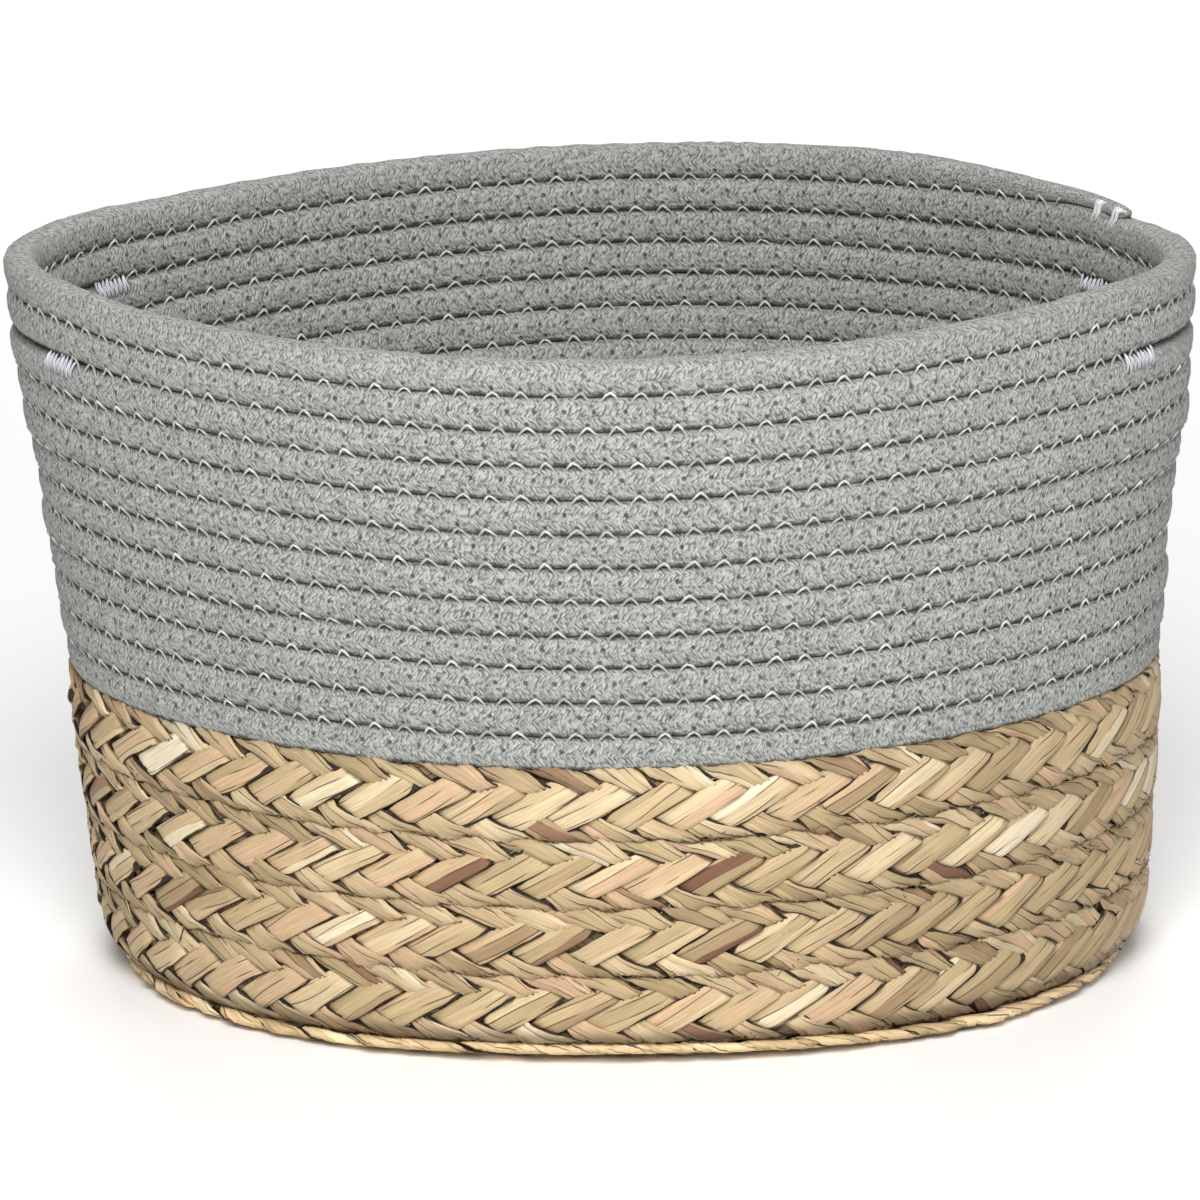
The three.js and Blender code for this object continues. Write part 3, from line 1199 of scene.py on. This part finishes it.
    def build_rope(self, finish: bpy.types.Material) -> bpy.types.Object:
        """Makes the coiled rope.

        Args:
            finish: material of the rope.

        Returns:
            The piece.
        """
        middle = Track(self.lower_line, self.first, self.last)
        count = int(middle.total / self.ring_spacing)
        lengths = np.linspace(0.0, middle.total, count + 1)
        turns = middle.turn(lengths)[:, None]
        out, up = self.section()
        share = self.thinning(turns)
        pinch = self.end_rounding(lengths, middle.total)[:, None]
        swell = 1 + wander(lengths, *self.swelling, self.seed)[:, None]
        press = 1 + np.abs(wander(lengths, *self.pressing, self.seed + 1))[:, None]
        height = self.underside(turns) + self.half_height * share * (1 + pinch * press * up)
        depth = self.half_thickness * (1 - blend(self.end_width, 1.0, share) * pinch * swell * out)
        rings = self.place(turns + 0 * out, height, depth)
        counts = {}
        for name, shift in ((NEEDLE_MAP, 1), (LOOP_MAP, 0)):
            seams = [self.seams[side].count_at(turns[:, 0] + shift) for side in Side]
            counts[name] = np.stack(seams, axis=1)
        loft = Loft("rope")
        loft.add_tube(rings, self.girth(), lengths, counts)
        piece = loft.finish("root", "cotton_rope", finish)
        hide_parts("rope_coil")
        return piece

    def end_rounding(self, lengths: np.ndarray, total: float) -> np.ndarray:
        """Narrowing of the last millimetres at both ends of the rope."""
        left = np.minimum(lengths, total - lengths) / self.rounding
        return np.sqrt(np.clip(blend(self.rounded_share, 1.0, ease(left)), 0.0, 1.0))

    def build_seam(self, side: Side, finish: bpy.types.Material) -> bpy.types.Object:
        """Makes the zig-zag stitches over the seams, left out along the open slits.

        Args:
            side: face of the wall.
            finish: material of the thread.

        Returns:
            The piece.
        """
        seam = self.seams[side]
        phase = np.abs(np.mod(seam.steps, 1.0) * 2 - 1)
        turns = seam.turns
        climb = 1 - (1 - phase) ** self.apex_bend
        rise = blend(-self.hole_drop, self.apex_rise, climb) + seam.stray
        bow = self.apex_sink * grow(phase, *self.apex_start)
        sink = np.maximum(ease(1 - phase / self.hole_share), bow)
        leg = blend(*self.leg_lifts, grow(phase, *self.leg_start))
        lift = self.thread_radius * blend(leg, self.hole_lift, sink) + self.stray_lift * seam.stray
        path = self.seam_point(turns, rise, lift, side)
        out = path - self.seam_point(turns, rise, lift - 1 * MM, side)
        open_slit = self.in_slit(turns)
        loft = Loft(f"seam_thread_{side.name.lower()}")
        breaks = np.flatnonzero(np.diff(open_slit.astype(int))) + 1
        for run in np.split(np.arange(len(turns)), breaks):
            if not open_slit[run[0]] and len(run) > 2:
                along = seam.steps[run] * self.stitch_length
                loft.add_thread(path[run], out[run], self.thread_radius, along)
        return loft.finish("root", "pale_thread", finish)


class SeamRun:
    """Where the stitches of one face lie along the seams."""

    no_stitch: float = 0.25

    def __init__(self, wall: RopeWall, side: Side) -> None:
        """Spaces the stitches.

        Args:
            wall: the rope wall.
            side: face of the wall.
        """
        self.wall = wall
        self.side = side
        flat = Track(self.seam_line, wall.seam_first, wall.courses - wall.seam_left)
        stitches = int(flat.total / wall.stitch_length)
        halves = np.arange(2 * stitches + 1)
        dice = np.random.default_rng(wall.seed + side.value)
        slip = dice.normal(0.0, wall.stitch_slip, len(halves))
        stray = dice.normal(0.0, wall.stitch_stray, len(halves))
        self.steps = np.arange(stitches * wall.stitch_points + 1) / wall.stitch_points
        self.stray = np.interp(self.steps * 2, halves, stray)
        lengths = self.steps * wall.stitch_length + np.interp(self.steps * 2, halves, slip)
        self.turns = flat.turn(lengths)

    def seam_line(self, turns: np.ndarray) -> np.ndarray:
        """Points along the seam, on the face."""
        return self.wall.seam_point(turns, 0 * turns, 0 * turns, self.side)

    def count_at(self, turns: np.ndarray) -> np.ndarray:
        """Stitches up to the given turns, or a quarter stitch where there are none."""
        count = np.interp(turns, self.turns, self.steps, left=self.no_stitch, right=self.no_stitch)
        return np.where(self.wall.in_slit(turns), self.no_stitch, count)


@dataclass(frozen=True)
class StrandPath:
    """Path of one strand in a flat plait of five, which folds round both edges of the plait.

    The strand climbs on the outer face, folds back over the upper edge and falls again. On its
    way up it lies on top beside both edges, and on its way down it lies on top in the middle.
    """

    # Shares of the period: where it passes the plait's middle, and its way from there to an edge.
    falling: float = 0.25
    rising: float = 0.75
    quarter: float = 0.25

    strands: int = 5
    period: float = 78 * MM
    half_width: float = 10.4 * MM
    layer: float = 1.45 * MM
    bow: float = 0.3
    rising_reach: float = 0.068
    falling_reach: float = 0.132
    change: float = 0.045
    breadth: float = 3.85 * MM
    spread: float = 0.45 * MM
    crease: float = 0.6
    edge_room: float = 2 * MM

    def changes(self) -> tuple[float, ...]:
        """Places in the period where the strand passes between the others."""
        falling = (self.falling - self.falling_reach, self.falling + self.falling_reach)
        return falling + (self.rising - self.rising_reach, self.rising + self.rising_reach)

    def unrolled(self, phase: np.ndarray) -> np.ndarray:
        """Place of the strand's middle round the plait: up its outer face, down its inner one.

        Args:
            phase: places along the strand, in periods.

        Returns:
            One length round the plait for each place.
        """
        part = np.mod(phase, 1.0)
        fall = (part - self.falling) / self.quarter
        climb = (part - self.rising) / self.quarter
        climb = climb * (1 + self.bow - self.bow * climb * climb)
        return self.half_width * np.where(part < 0.5, 2 + fall, 4 + climb)

    def over(self, phase: np.ndarray, rising: np.ndarray) -> np.ndarray:
        """Layer of the strand.

        Args:
            phase: places along the strand, in periods.
            rising: whether the strand is on its way up there.

        Returns:
            1 where the strand lies on top and -1 where it lies below.
        """
        middle = np.where(rising, self.rising, self.falling)
        away = np.clip(np.abs(np.mod(phase - middle + 0.5, 1.0) - 0.5), 0.0, self.quarter)
        reach = np.where(rising, self.rising_reach, self.falling_reach)
        face = np.where(rising, 1.0, -1.0)
        return face * (1 - 2 * ease((reach - away) / self.change + 0.5))

    def half_breadth(self, phase: np.ndarray) -> np.ndarray:
        """Half the width of the strand, widest where it lies on top in the middle."""
        return self.breadth + self.spread * np.cos(2 * np.pi * (phase - self.falling))

    def place(
        self, phase: np.ndarray, aside: np.ndarray, height: np.ndarray, tilt: np.ndarray
    ) -> tuple[np.ndarray, np.ndarray]:
        """Place of a strand's point in the section of the plait.

        Args:
            phase: place along the strand, in periods.
            aside: distance from the strand's middle.
            height: height over the strand's middle layer.
            tilt: slope of the strand across its width.

        Returns:
            Distances across the plait and out from its middle.
        """
        width = 2 * self.half_width
        bend = math.pi * self.layer / 2
        place = np.mod(self.unrolled(phase) + aside + self.half_width, 2 * width)
        rising = place < width
        flat = np.where(rising, place - self.half_width, 3 * self.half_width - place)
        face = np.where(rising, 1.0, -1.0)
        over = self.over(phase + aside / (4 * width), rising)
        to_edge = self.half_width - np.abs(flat)
        room = np.clip((to_edge - bend) / self.edge_room, 0.0, 1.0)
        out = self.layer * over + face * height + tilt * aside * room
        turn = np.clip(to_edge / bend, 0.0, 1.0) * math.pi / 2
        across = self.half_width - bend + (self.layer + height) * np.cos(turn) ** self.crease
        folded = face * (self.layer + height) * np.sin(turn) ** self.crease
        beyond = to_edge < bend
        return (
            np.where(beyond, np.sign(flat) * across, flat),
            np.where(beyond, folded, out),
        )


@dataclass
class Plait:
    """A flat plait of five strands, coiled on one surface."""

    form: BasketForm
    name: str
    node: str
    first: float
    last: float
    thickness: float = 5 * MM
    nominal_half: float = 9.65 * MM
    seam_gap: float = 0.45 * MM
    strand_thickness: float = 1.5 * MM
    ring_spacing: float = 2.0 * MM
    seed: int = 31
    path: StrandPath = StrandPath()

    # Slow changes along a strand: the distance between two values, and how much they differ.
    pace_change: tuple = (60 * MM, 0.010)
    beat_change: tuple = (22 * MM, 0.45 / 78)
    breadth_change: tuple = (17 * MM, 0.07)
    tilt_change: tuple = (18 * MM, 0.07)
    bulk_change: tuple = (25 * MM, 0.08)
    edge_change: tuple = (11 * MM, 0.55 * MM)
    lift_change: tuple = (16 * MM, 0.16 * MM)
    tilt: float = 0.17
    edge_power: int = 5
    seam_waves: tuple = ((0.5, 61.3), (0.4, 87.7), (0.3, 31.9))
    seam_waves_first: float = 0.9

    # Section of a strand, as shares of its half breadth and of its thickness.
    section: tuple = (
        (-1.00, 0.00),
        (-0.93, 0.34),
        (-0.45, 0.48),
        (-0.25, 0.40),
        (0.00, 0.52),
        (0.50, 0.46),
        (0.93, 0.34),
        (1.00, 0.00),
        (0.93, -0.34),
        (0.50, -0.48),
        (0.20, -0.40),
        (-0.10, -0.52),
        (-0.60, -0.44),
        (-0.93, -0.34),
    )

    def edges(self, turns: np.ndarray) -> tuple[np.ndarray, np.ndarray]:
        """Near and far edge of the plait."""
        raise NotImplementedError

    def place(self, turns: np.ndarray, across: np.ndarray, out: np.ndarray) -> np.ndarray:
        """Point at a place across the plait and a height over its middle."""
        raise NotImplementedError

    def build(self, finish: bpy.types.Material) -> None:
        """Makes the strands.

        Args:
            finish: material of the strands.
        """
        middle = Track(self.middle, self.first, self.last)
        for strand in range(self.path.strands):
            loft = Loft(f"{self.name}_{strand + 1}")
            self.add_strand(loft, middle, strand)
            piece = loft.finish("root", "rush_plait", finish)
            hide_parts(self.node)

    def waver(self, turns: np.ndarray) -> np.ndarray:
        """How far the seam under a course strays from its even line, after the first seam's start."""
        inner = np.clip(turns - self.seam_waves_first, 0.0, 0.1) * 10
        return inner * MM * ripple(turns, self.seam_waves, 1)

    def middle(self, turns: np.ndarray) -> np.ndarray:
        """Points along the middle of the plait."""
        near, far = self.edges(turns)
        return self.place(turns, (near + far) / 2, 0 * turns)

    def add_strand(self, loft: Loft, middle: Track, strand: int) -> None:
        """Adds one strand.

        Args:
            loft: piece that it belongs to.
            middle: lengths along the plait.
            strand: number of the strand.
        """
        seed = self.seed + 10 * strand
        count = int(middle.total / self.ring_spacing)
        lengths = np.linspace(0.0, middle.total, count + 1)
        pace = wander(lengths, *self.pace_change, seed) + wander(lengths, *self.beat_change, seed + 1)
        phase = (lengths / self.path.period + strand / self.path.strands + pace)[:, None]
        lanes = np.array([lane for lane, _ in self.section])
        heights = np.array([height for _, height in self.section])
        swell = 1 + wander(lengths, *self.breadth_change, seed + 2)
        aside = self.path.half_breadth(phase) * swell[:, None] * lanes
        tilt = wander(lengths, *self.tilt_change, seed + 3)[:, None] + self.tilt
        bulk = self.strand_thickness * (1 + wander(lengths, *self.bulk_change, seed + 4))
        flat, out = self.path.place(phase, aside, bulk[:, None] * heights, tilt)
        out = out + wander(lengths, *self.lift_change, seed + 6)[:, None]
        turns = middle.turn(lengths)
        near, far = self.edges(turns)
        fit = (far - near) / (2 * self.nominal_half)
        fold = np.clip(np.abs(flat) / self.path.half_width, 0.0, 1.0) ** self.edge_power
        stray = np.sign(flat) * wander(lengths, *self.edge_change, seed + 5)[:, None]
        stray = stray + np.where(flat > 0, self.waver(turns + 1)[:, None], self.waver(turns)[:, None])
        across = ((near + far) / 2)[:, None] + flat * fit[:, None] + fold * stray
        rings = self.place(turns[:, None] + 0 * across, across, out)
        lane_map = strand + 0.5 + LANE_SHARE * np.append(lanes, lanes[0])
        slope = self.path.half_breadth(phase[:, 0]) * swell / (8 * self.path.half_width)
        phases = np.stack([phase[:, 0], slope], axis=1)
        loft.add_tube(rings, lane_map, lengths + strand, {PHASE_MAP: phases})


@dataclass
class WallPlait(Plait):
    """Plait on edge in the lower wall."""

    pitch: float = 20.55 * MM
    courses: int = 4
    border_rise: float = 0.8 * MM
    fullness: float = 1.6 * MM
    border_share: float = 0.2
    border_rate: float = 20
    border_fade: float = 15 * MM
    end_dip: float = 1.0 * MM
    foot_fade: float = 12 * MM

    def edges(self, turns: np.ndarray) -> tuple[np.ndarray, np.ndarray]:
        """Lower and upper edge.

        Args:
            turns: places along the plait.

        Returns:
            Their heights above the floor.
        """
        form = self.form
        following = form.level(turns + 1)
        level = np.maximum(0.0, form.level(turns))
        angle = form.angle(turns)
        wave = form.base_wave * (1 - np.cos(form.base_waves * angle))
        dip = wave + self.end_dip * np.cos(angle) ** 2
        near = form.wall_bottom + self.pitch * level - dip * np.clip(1 - level, 0.0, 1.0)
        plait_rise = self.pitch * np.minimum(following, self.courses)
        rope_rise = form.rope_pitch * np.maximum(0.0, following - self.courses)
        border = ease((turns - self.courses + 1) * self.border_rate)
        far = form.wall_bottom + plait_rise + rope_rise - self.seam_gap + self.border_rise * border
        return near, far

    def place(self, turns: np.ndarray, across: np.ndarray, out: np.ndarray) -> np.ndarray:
        """Points in the plait, fuller than the even wall but not at its border and the ends' foot.

        Args:
            turns: places along the plait.
            across: heights above the floor.
            out: distances out from the plait's middle.

        Returns:
            One point for each place.
        """
        form = self.form
        border = form.border_height + form.rope_pitch * form.level(turns + 1 - self.courses)
        share = blend(self.border_share, 1.0, ease((border - across) / self.border_fade))
        full = np.where(turns < self.courses - 1, 1.0, share)
        foot = 1 - grow(across, form.wall_bottom, self.foot_fade)
        full = full - foot * np.cos(form.angle(turns)) ** 2
        return form.wall(turns, across, self.thickness / 2 - out - self.fullness * full)


@dataclass
class BasePlait(Plait):
    """Plait laid flat in the base."""

    edge_thinning: float = 0.28

    def edges(self, turns: np.ndarray) -> tuple[np.ndarray, np.ndarray]:
        """Inner and outer edge.

        Args:
            turns: places along the plait.

        Returns:
            Their distances from the straight core.
        """
        pitch = self.form.base_pitch
        near = pitch * np.maximum(0.0, self.form.level(turns)) + self.seam_gap
        far = pitch * np.minimum(self.form.level(turns + 1), self.form.base_turns)
        return near, far

    def place(self, turns: np.ndarray, across: np.ndarray, out: np.ndarray) -> np.ndarray:
        """Points in the plait, which thins out over the outer half of its last turn.

        Args:
            turns: places along the plait.
            across: distances from the straight core.
            out: depths under the plait's middle.

        Returns:
            One point for each place, none of them under the floor.
        """
        edge = np.clip(across / self.form.base_pitch - (self.form.base_turns - 0.5), 0.0, 0.5) * 2
        thin = 1 - self.edge_thinning * edge
        points = self.form.base(turns, across, self.thickness / 2 - out * thin)
        points[..., 2] = np.maximum(points[..., 2], 0.0)
        return points


@dataclass
class BarTack:
    """Dense stitches that close one end of a slit, outside and inside."""

    wall: RopeWall
    name: str
    turn: float
    strokes: int = 15
    points: int = 6
    length: float = 15.5 * MM
    reach: float = 2.8 * MM
    reach_change: float = 0.4 * MM
    drop: float = 1.7 * MM
    radius: float = 0.4 * MM
    lifts: tuple = (0.8, -1.2)
    dive_start: tuple = (0.75, 0.25)
    nudge: float = 0.001
    height: float = 0.2

    def build(self, finish: bpy.types.Material) -> bpy.types.Object:
        """Makes the tack.

        Args:
            finish: material of the thread.

        Returns:
            The piece.
        """
        loft = Loft(self.name)
        for side in Side:
            self.add_face(loft, side)
        piece = loft.finish("root", "pale_thread", finish)
        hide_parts(self.name)
        return piece

    def add_face(self, loft: Loft, side: Side) -> None:
        """Adds the stitches of one face.

        Args:
            loft: piece that they belong to.
            side: face of the wall.
        """
        dice = np.random.default_rng(len(self.name) + side.value)
        steps = np.arange(self.strokes * self.points + 1) / self.points
        swing = np.abs(np.mod(steps, 2.0) - 1) * 2 - 1
        ends = dice.normal(0.0, self.reach_change, self.strokes + 2)
        rise = swing * (self.reach + np.interp(steps, np.arange(len(ends)), ends)) - self.drop
        along = (steps / self.strokes - 0.5) * self.length
        turns = self.wall.turns_at(self.turn, self.nudge, self.height, along)
        rise = rise - self.wall.slit_lift(turns) / 2
        lift = self.radius * blend(*self.lifts, grow(np.abs(swing), *self.dive_start))
        path = self.wall.seam_point(turns, rise, lift, side)
        out = path - self.wall.seam_point(turns, rise, lift - 1 * MM, side)
        loft.add_thread(path, out, self.radius, steps * 2 * self.reach)


@dataclass
class EndTack:
    """Two groups of coarse stitches over the thinned end of the rope."""

    wall: RopeWall
    name: str = "rope_end_tack"
    groups: tuple = ((-11 * MM, -4.7 * MM, -1.6 * MM), (-2.5 * MM, -4.7 * MM, -0.4 * MM))
    strokes: int = 4
    points: int = 14
    stroke_length: float = 6 * MM
    spacing: float = 0.8 * MM
    radius: float = 0.42 * MM
    lifts: tuple = (0.6, -1.2)
    dive_start: tuple = (0.8, 0.2)
    core_drop: float = 3 * MM
    nudge: float = -0.001
    height: float = 0.21

    def build(self, finish: bpy.types.Material) -> bpy.types.Object:
        """Makes the tack.

        Args:
            finish: material of the thread.

        Returns:
            The piece.
        """
        loft = Loft(self.name)
        for setback, inner, outer in self.groups:
            self.add_group(loft, setback, inner, outer)
        piece = loft.finish("root", "pale_thread", finish)
        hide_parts(self.name)
        return piece

    def top(self, turns: np.ndarray, out: np.ndarray) -> np.ndarray:
        """Upper surface of the thinned end and of the rim beside it.

        Args:
            turns: places along the rope.
            out: distances out from the rope's middle.

        Returns:
            Heights over the rim.
        """
        wall = self.wall
        share = wall.thinning(turns)
        power = wall.squareness
        rim = np.clip(1 - np.abs(out / wall.half_thickness) ** power, 0.0, None) ** (1 / power)
        width = wall.half_thickness * blend(wall.end_width, 1.0, share)
        end = np.clip(1 - np.abs(out / width) ** power, 0.0, None) ** (1 / power)
        lying = wall.half_height * share * (1 + end)
        return np.where(end > 0, lying, wall.half_height * (rim - 1))

    def add_group(self, loft: Loft, setback: float, inner: float, outer: float) -> None:
        """Adds one group of stitches.

        Args:
            loft: piece that they belong to.
            setback: place of the group along the rope, measured from the rope's end.
            inner: where the strokes end on the inner side.
            outer: where they end on the outer side.
        """
        wall = self.wall
        steps = np.arange(self.strokes * self.points + 1) / self.points
        swing = np.abs(np.mod(steps, 2.0) - 1)
        along = setback + (steps - self.strokes / 2) * self.spacing
        turns = wall.turns_at(wall.last, self.nudge, self.height, along)
        out = blend(inner, outer, swing)
        low = grow(np.abs(swing - 0.5) * 2, *self.dive_start)
        rise = self.top(turns, out) + self.radius * blend(*self.lifts, low)
        under = wall.underside(turns)
        path = wall.place(turns, under + rise, wall.half_thickness - out)
        core = wall.place(turns, under - self.core_drop, wall.half_thickness + 0 * out)
        loft.add_thread(path, path - core, self.radius, steps * self.stroke_length)


@dataclass
class PlaitSeam:
    """Zig-zag thread that sews the courses of a plait, on both of its faces."""

    plait: Plait
    name: str
    first: float
    last: float
    stitch_length: float = 10 * MM
    stitch_points: int = 8
    stitch_stray: float = 0.5 * MM
    reach: float = 2.6 * MM
    height: float = 1.25 * MM
    dive: float = 1.3 * MM
    dive_start: tuple = (0.6, 0.4)
    radius: float = 0.2 * MM
    sides: int = 4
    seed_step: int = 90

    def build(self, finish: bpy.types.Material) -> bpy.types.Object:
        """Makes the thread.

        Args:
            finish: material of the thread.

        Returns:
            The piece.
        """
        loft = Loft(self.name)
        for side in Side:
            self.add_face(loft, side)
        return loft.finish("root", "pale_thread", finish)

    def seam_line(self, turns: np.ndarray) -> np.ndarray:
        """Points along the seam under each course."""
        return self.plait.place(turns, self.plait.edges(turns)[0], 0 * turns)

    def add_face(self, loft: Loft, side: Side) -> None:
        """Adds the thread of one face.

        Args:
            loft: piece that it belongs to.
            side: face of the plait.
        """
        plait = self.plait
        track = Track(self.seam_line, self.first, self.last)
        stitches = int(track.total / self.stitch_length)
        steps = np.arange(stitches * self.stitch_points + 1) / self.stitch_points
        dice = np.random.default_rng(plait.seed + side.value + self.seed_step)
        halves = np.arange(2 * stitches + 1)
        stray = np.interp(steps * 2, halves, dice.normal(0.0, self.stitch_stray, len(halves)))
        swing = np.abs(np.mod(steps, 1.0) * 2 - 1) * 2 - 1
        turns = track.turn(steps * self.stitch_length + stray)
        across = plait.edges(turns)[0] + swing * self.reach + stray
        depth = self.dive * grow(np.abs(swing), *self.dive_start)
        out = side.value * (self.height - depth)
        path = plait.place(turns, across, out)
        away = path - plait.place(turns, across, out - side.value * MM)
        loft.add_thread(path, away, self.radius, steps * self.stitch_length, self.sides)


@dataclass
class StrayFibres:
    """Tufts of dark fibre and short leaf stubs that stand off the wall plait."""

    plait: Plait
    tufts: int = 30
    fibres: int = 5
    stubs: int = 26
    seed: int = 77
    span: tuple = (0.05, 3.95)
    tuft_spread: float = 1.5 * MM

    # Lengths and radii from least to most, in millimetres.
    fibre_lengths: tuple = (2, 6)
    fibre_radii: tuple = (0.10, 0.17)
    stub_lengths: tuple = (2, 3.5)
    stub_radii: tuple = (0.3, 0.5)

    points: int = 5
    sides: int = 3
    slant: float = 0.9
    climb: float = 0.5
    start_spread: tuple = (0.6 * MM, 0.5 * MM)
    start_height: float = 1.2 * MM
    lift: float = 0.45
    droop: float = 0.3
    course_length: float = 0.95

    def build(self, finish: bpy.types.Material) -> bpy.types.Object:
        """Makes the fibres.

        Args:
            finish: material of the fibres.

        Returns:
            The piece.
        """
        dice = np.random.default_rng(self.seed)
        loft = Loft("stray_fibres")
        for _ in range(self.tufts):
            turn = dice.uniform(*self.span)
            offset = dice.normal(0.0, self.tuft_spread)
            for _ in range(self.fibres):
                length = dice.uniform(*self.fibre_lengths) * MM
                radius = dice.uniform(*self.fibre_radii) * MM
                self.add_fibre(loft, dice, turn, offset, length, radius)
        for _ in range(self.stubs):
            length = dice.uniform(*self.stub_lengths) * MM
            turn = dice.uniform(*self.span)
            radius = dice.uniform(*self.stub_radii) * MM
            self.add_fibre(loft, dice, turn, 0.0, length, radius)
        return loft.finish("root", "rush_plait", finish)

    def add_fibre(
        self,
        loft: Loft,
        dice: np.random.Generator,
        turn: float,
        offset: float,
        length: float,
        radius: float,
    ) -> None:
        """Adds one fibre that starts between two strands.

        Args:
            loft: piece that it belongs to.
            dice: random numbers.
            turn: place along the plait.
            offset: height over the seam.
            length: length of the fibre.
            radius: radius of the fibre.
        """
        share = np.linspace(0.0, 1.0, self.points)
        slant = dice.uniform(-self.slant, self.slant)
        climb = dice.normal(0.0, self.climb)
        ahead, above = self.start_spread
        turns = turn + (dice.normal(0.0, ahead) + share * length * slant) / self.course_length
        root = self.plait.edges(turns)[0] + offset + dice.normal(0.0, above)
        across = root + share * length * climb
        bend = share * self.lift - share * share * dice.uniform(0.0, self.droop)
        out = self.start_height + length * bend
        path = self.plait.place(turns, across, out)
        # The small shift keeps a fibre that stands straight off the plait from having no side.
        away = path - self.plait.place(turns, across, out - MM) + 1e-5
        loft.add_thread(path, away, radius, share * length + turn, self.sides)


@dataclass(frozen=True)
class Softbox:
    """One large soft light."""

    name: str
    place: tuple
    size: float
    power: float
    aim: tuple = (0.0, 0.0, 0.1)

    def build(self) -> None:
        """Makes the light."""
        data = bpy.data.lights.new(self.name, "AREA")
        data.shape = "SQUARE"
        data.size = self.size
        data.energy = self.power
        lamp = bpy.data.objects.new(self.name, data)
        lamp.location = self.place
        lamp.rotation_euler = (Vector(self.aim) - lamp.location).to_track_quat("-Z", "Y").to_euler()
        bpy.context.scene.collection.objects.link(lamp)


@dataclass
class Studio:
    """Floor, lights and camera."""

    target: tuple = (-0.0008, 0.0, 0.106)
    distance: float = 2.26
    elevation: float = math.radians(14.69)
    azimuth: float = math.radians(0.953)
    roll: float = math.radians(-0.707)
    lens: float = 226.9
    sensor: float = 36.0
    far_limit: float = 50.0
    floor_size: float = 16.0
    sky: float = 0.19

    softboxes: tuple = (
        Softbox("front", (-0.1, -1.5, 1.05), 0.8, 19.0),
        Softbox("high", (0.0, -1.7, 2.0), 1.2, 33.0),
        Softbox("side", (1.8, -1.2, 1.2), 1.0, 8.0),
        Softbox("rear", (0.0, 2.6, 2.4), 2.0, 72.0, (0.0, 2.6, 0.0)),
    )

    def build(self) -> None:
        """Makes the floor, lights and camera."""
        self.build_camera()
        self.build_floor()
        for softbox in self.softboxes:
            softbox.build()
        world = bpy.data.worlds.new("studio")
        world.use_nodes = True
        backdrop = world.node_tree.nodes["Background"]
        backdrop.inputs["Color"].default_value = (1, 1, 1, 1)
        backdrop.inputs["Strength"].default_value = self.sky
        bpy.context.scene.world = world
        bpy.context.scene.view_settings.view_transform = "Standard"

    def build_camera(self) -> None:
        """Makes the camera at the photograph's angle."""
        data = bpy.data.cameras.new("camera")
        data.lens = self.lens
        data.sensor_width = self.sensor
        data.clip_end = self.far_limit
        camera = bpy.data.objects.new("camera", data)
        target = Vector(self.target)
        level = self.distance * math.cos(self.elevation)
        offset = (
            level * math.sin(self.azimuth),
            -level * math.cos(self.azimuth),
            self.distance * math.sin(self.elevation),
        )
        camera.location = target + Vector(offset)
        aim = (target - camera.location).to_track_quat("-Z", "Y")
        camera.rotation_euler = (aim @ Quaternion((0, 0, 1), self.roll)).to_euler()
        bpy.context.scene.collection.objects.link(camera)
        bpy.context.scene.camera = camera

    def build_floor(self) -> None:
        """Makes the floor."""
        sheet = bmesh.new()
        bmesh.ops.create_grid(sheet, x_segments=1, y_segments=1, size=self.floor_size / 2)
        data = bpy.data.meshes.new("floor")
        sheet.to_mesh(data)
        sheet.free()
        data.materials.append(FloorFinish().material())
        floor = bpy.data.objects.new("floor", data)
        bpy.context.scene.collection.objects.link(floor)


def main() -> None:
    """Builds the basket and the studio."""
    logging.basicConfig(level=logging.INFO, format="%(message)s")
    form = BasketForm()
    rope = RopeWall(form)
    hole_place = rope.half_height - rope.hole_drop
    loop_place = rope.loop_rise - rope.half_height
    girth = float(rope.girth()[-1])
    cotton = CottonFinish(girth, hole_place, loop_place, rope.stitch_length).material()
    changes = StrandPath().changes()
    wall_rush = RushFinish("wall_rush", changes, strength=0.91).material()
    # Painted light: the base's rush is the wall's rush painted lighter, strength 1.4 against 0.91, with
    # no painted shade at the folds or the foot.
    base_rush = RushFinish("base_rush", changes, strength=1.4, hem_shade=0.0, foot_shade=0.0).material()
    seam_thread = SeamFinish(rope.stitch_length).material()
    tack_thread = TackFinish("tack_thread", 2 * BarTack.reach).material()
    pale = (0.80, 0.80, 0.80)
    dull = (0.5, 0.5, 0.5)
    end_thread = TackFinish("end_tack_thread", EndTack.stroke_length, pale, dull).material()
    straw_thread = StrawThreadFinish().material()
    Studio().build()
    rope.build_rope(cotton)
    for side in Side:
        rope.build_seam(side, seam_thread)
    first = -8 / STEPS
    wall_plait = WallPlait(form, "wall_strand", "wall_plait", first, last=4.0)
    base_plait = BasePlait(form, "base_strand", "base_plait", first, last=142 / STEPS, seed=131)
    wall_plait.build(wall_rush)
    base_plait.build(base_rush)
    PlaitSeam(wall_plait, "wall_plait_thread", first=0.6, last=3.98).build(straw_thread)
    PlaitSeam(base_plait, "base_plait_thread", first=0.6, last=5.9).build(straw_thread)
    StrayFibres(wall_plait).build(FibreFinish().material())
    tacks = {
        "right_back_tack": 240,
        "right_front_tack": 244,
        "left_front_tack": 252,
        "left_back_tack": 256,
    }
    for name, step in tacks.items():
        BarTack(rope, name, step / STEPS).build(tack_thread)
    EndTack(rope).build(end_thread)


if __name__ == "__main__":
    main()
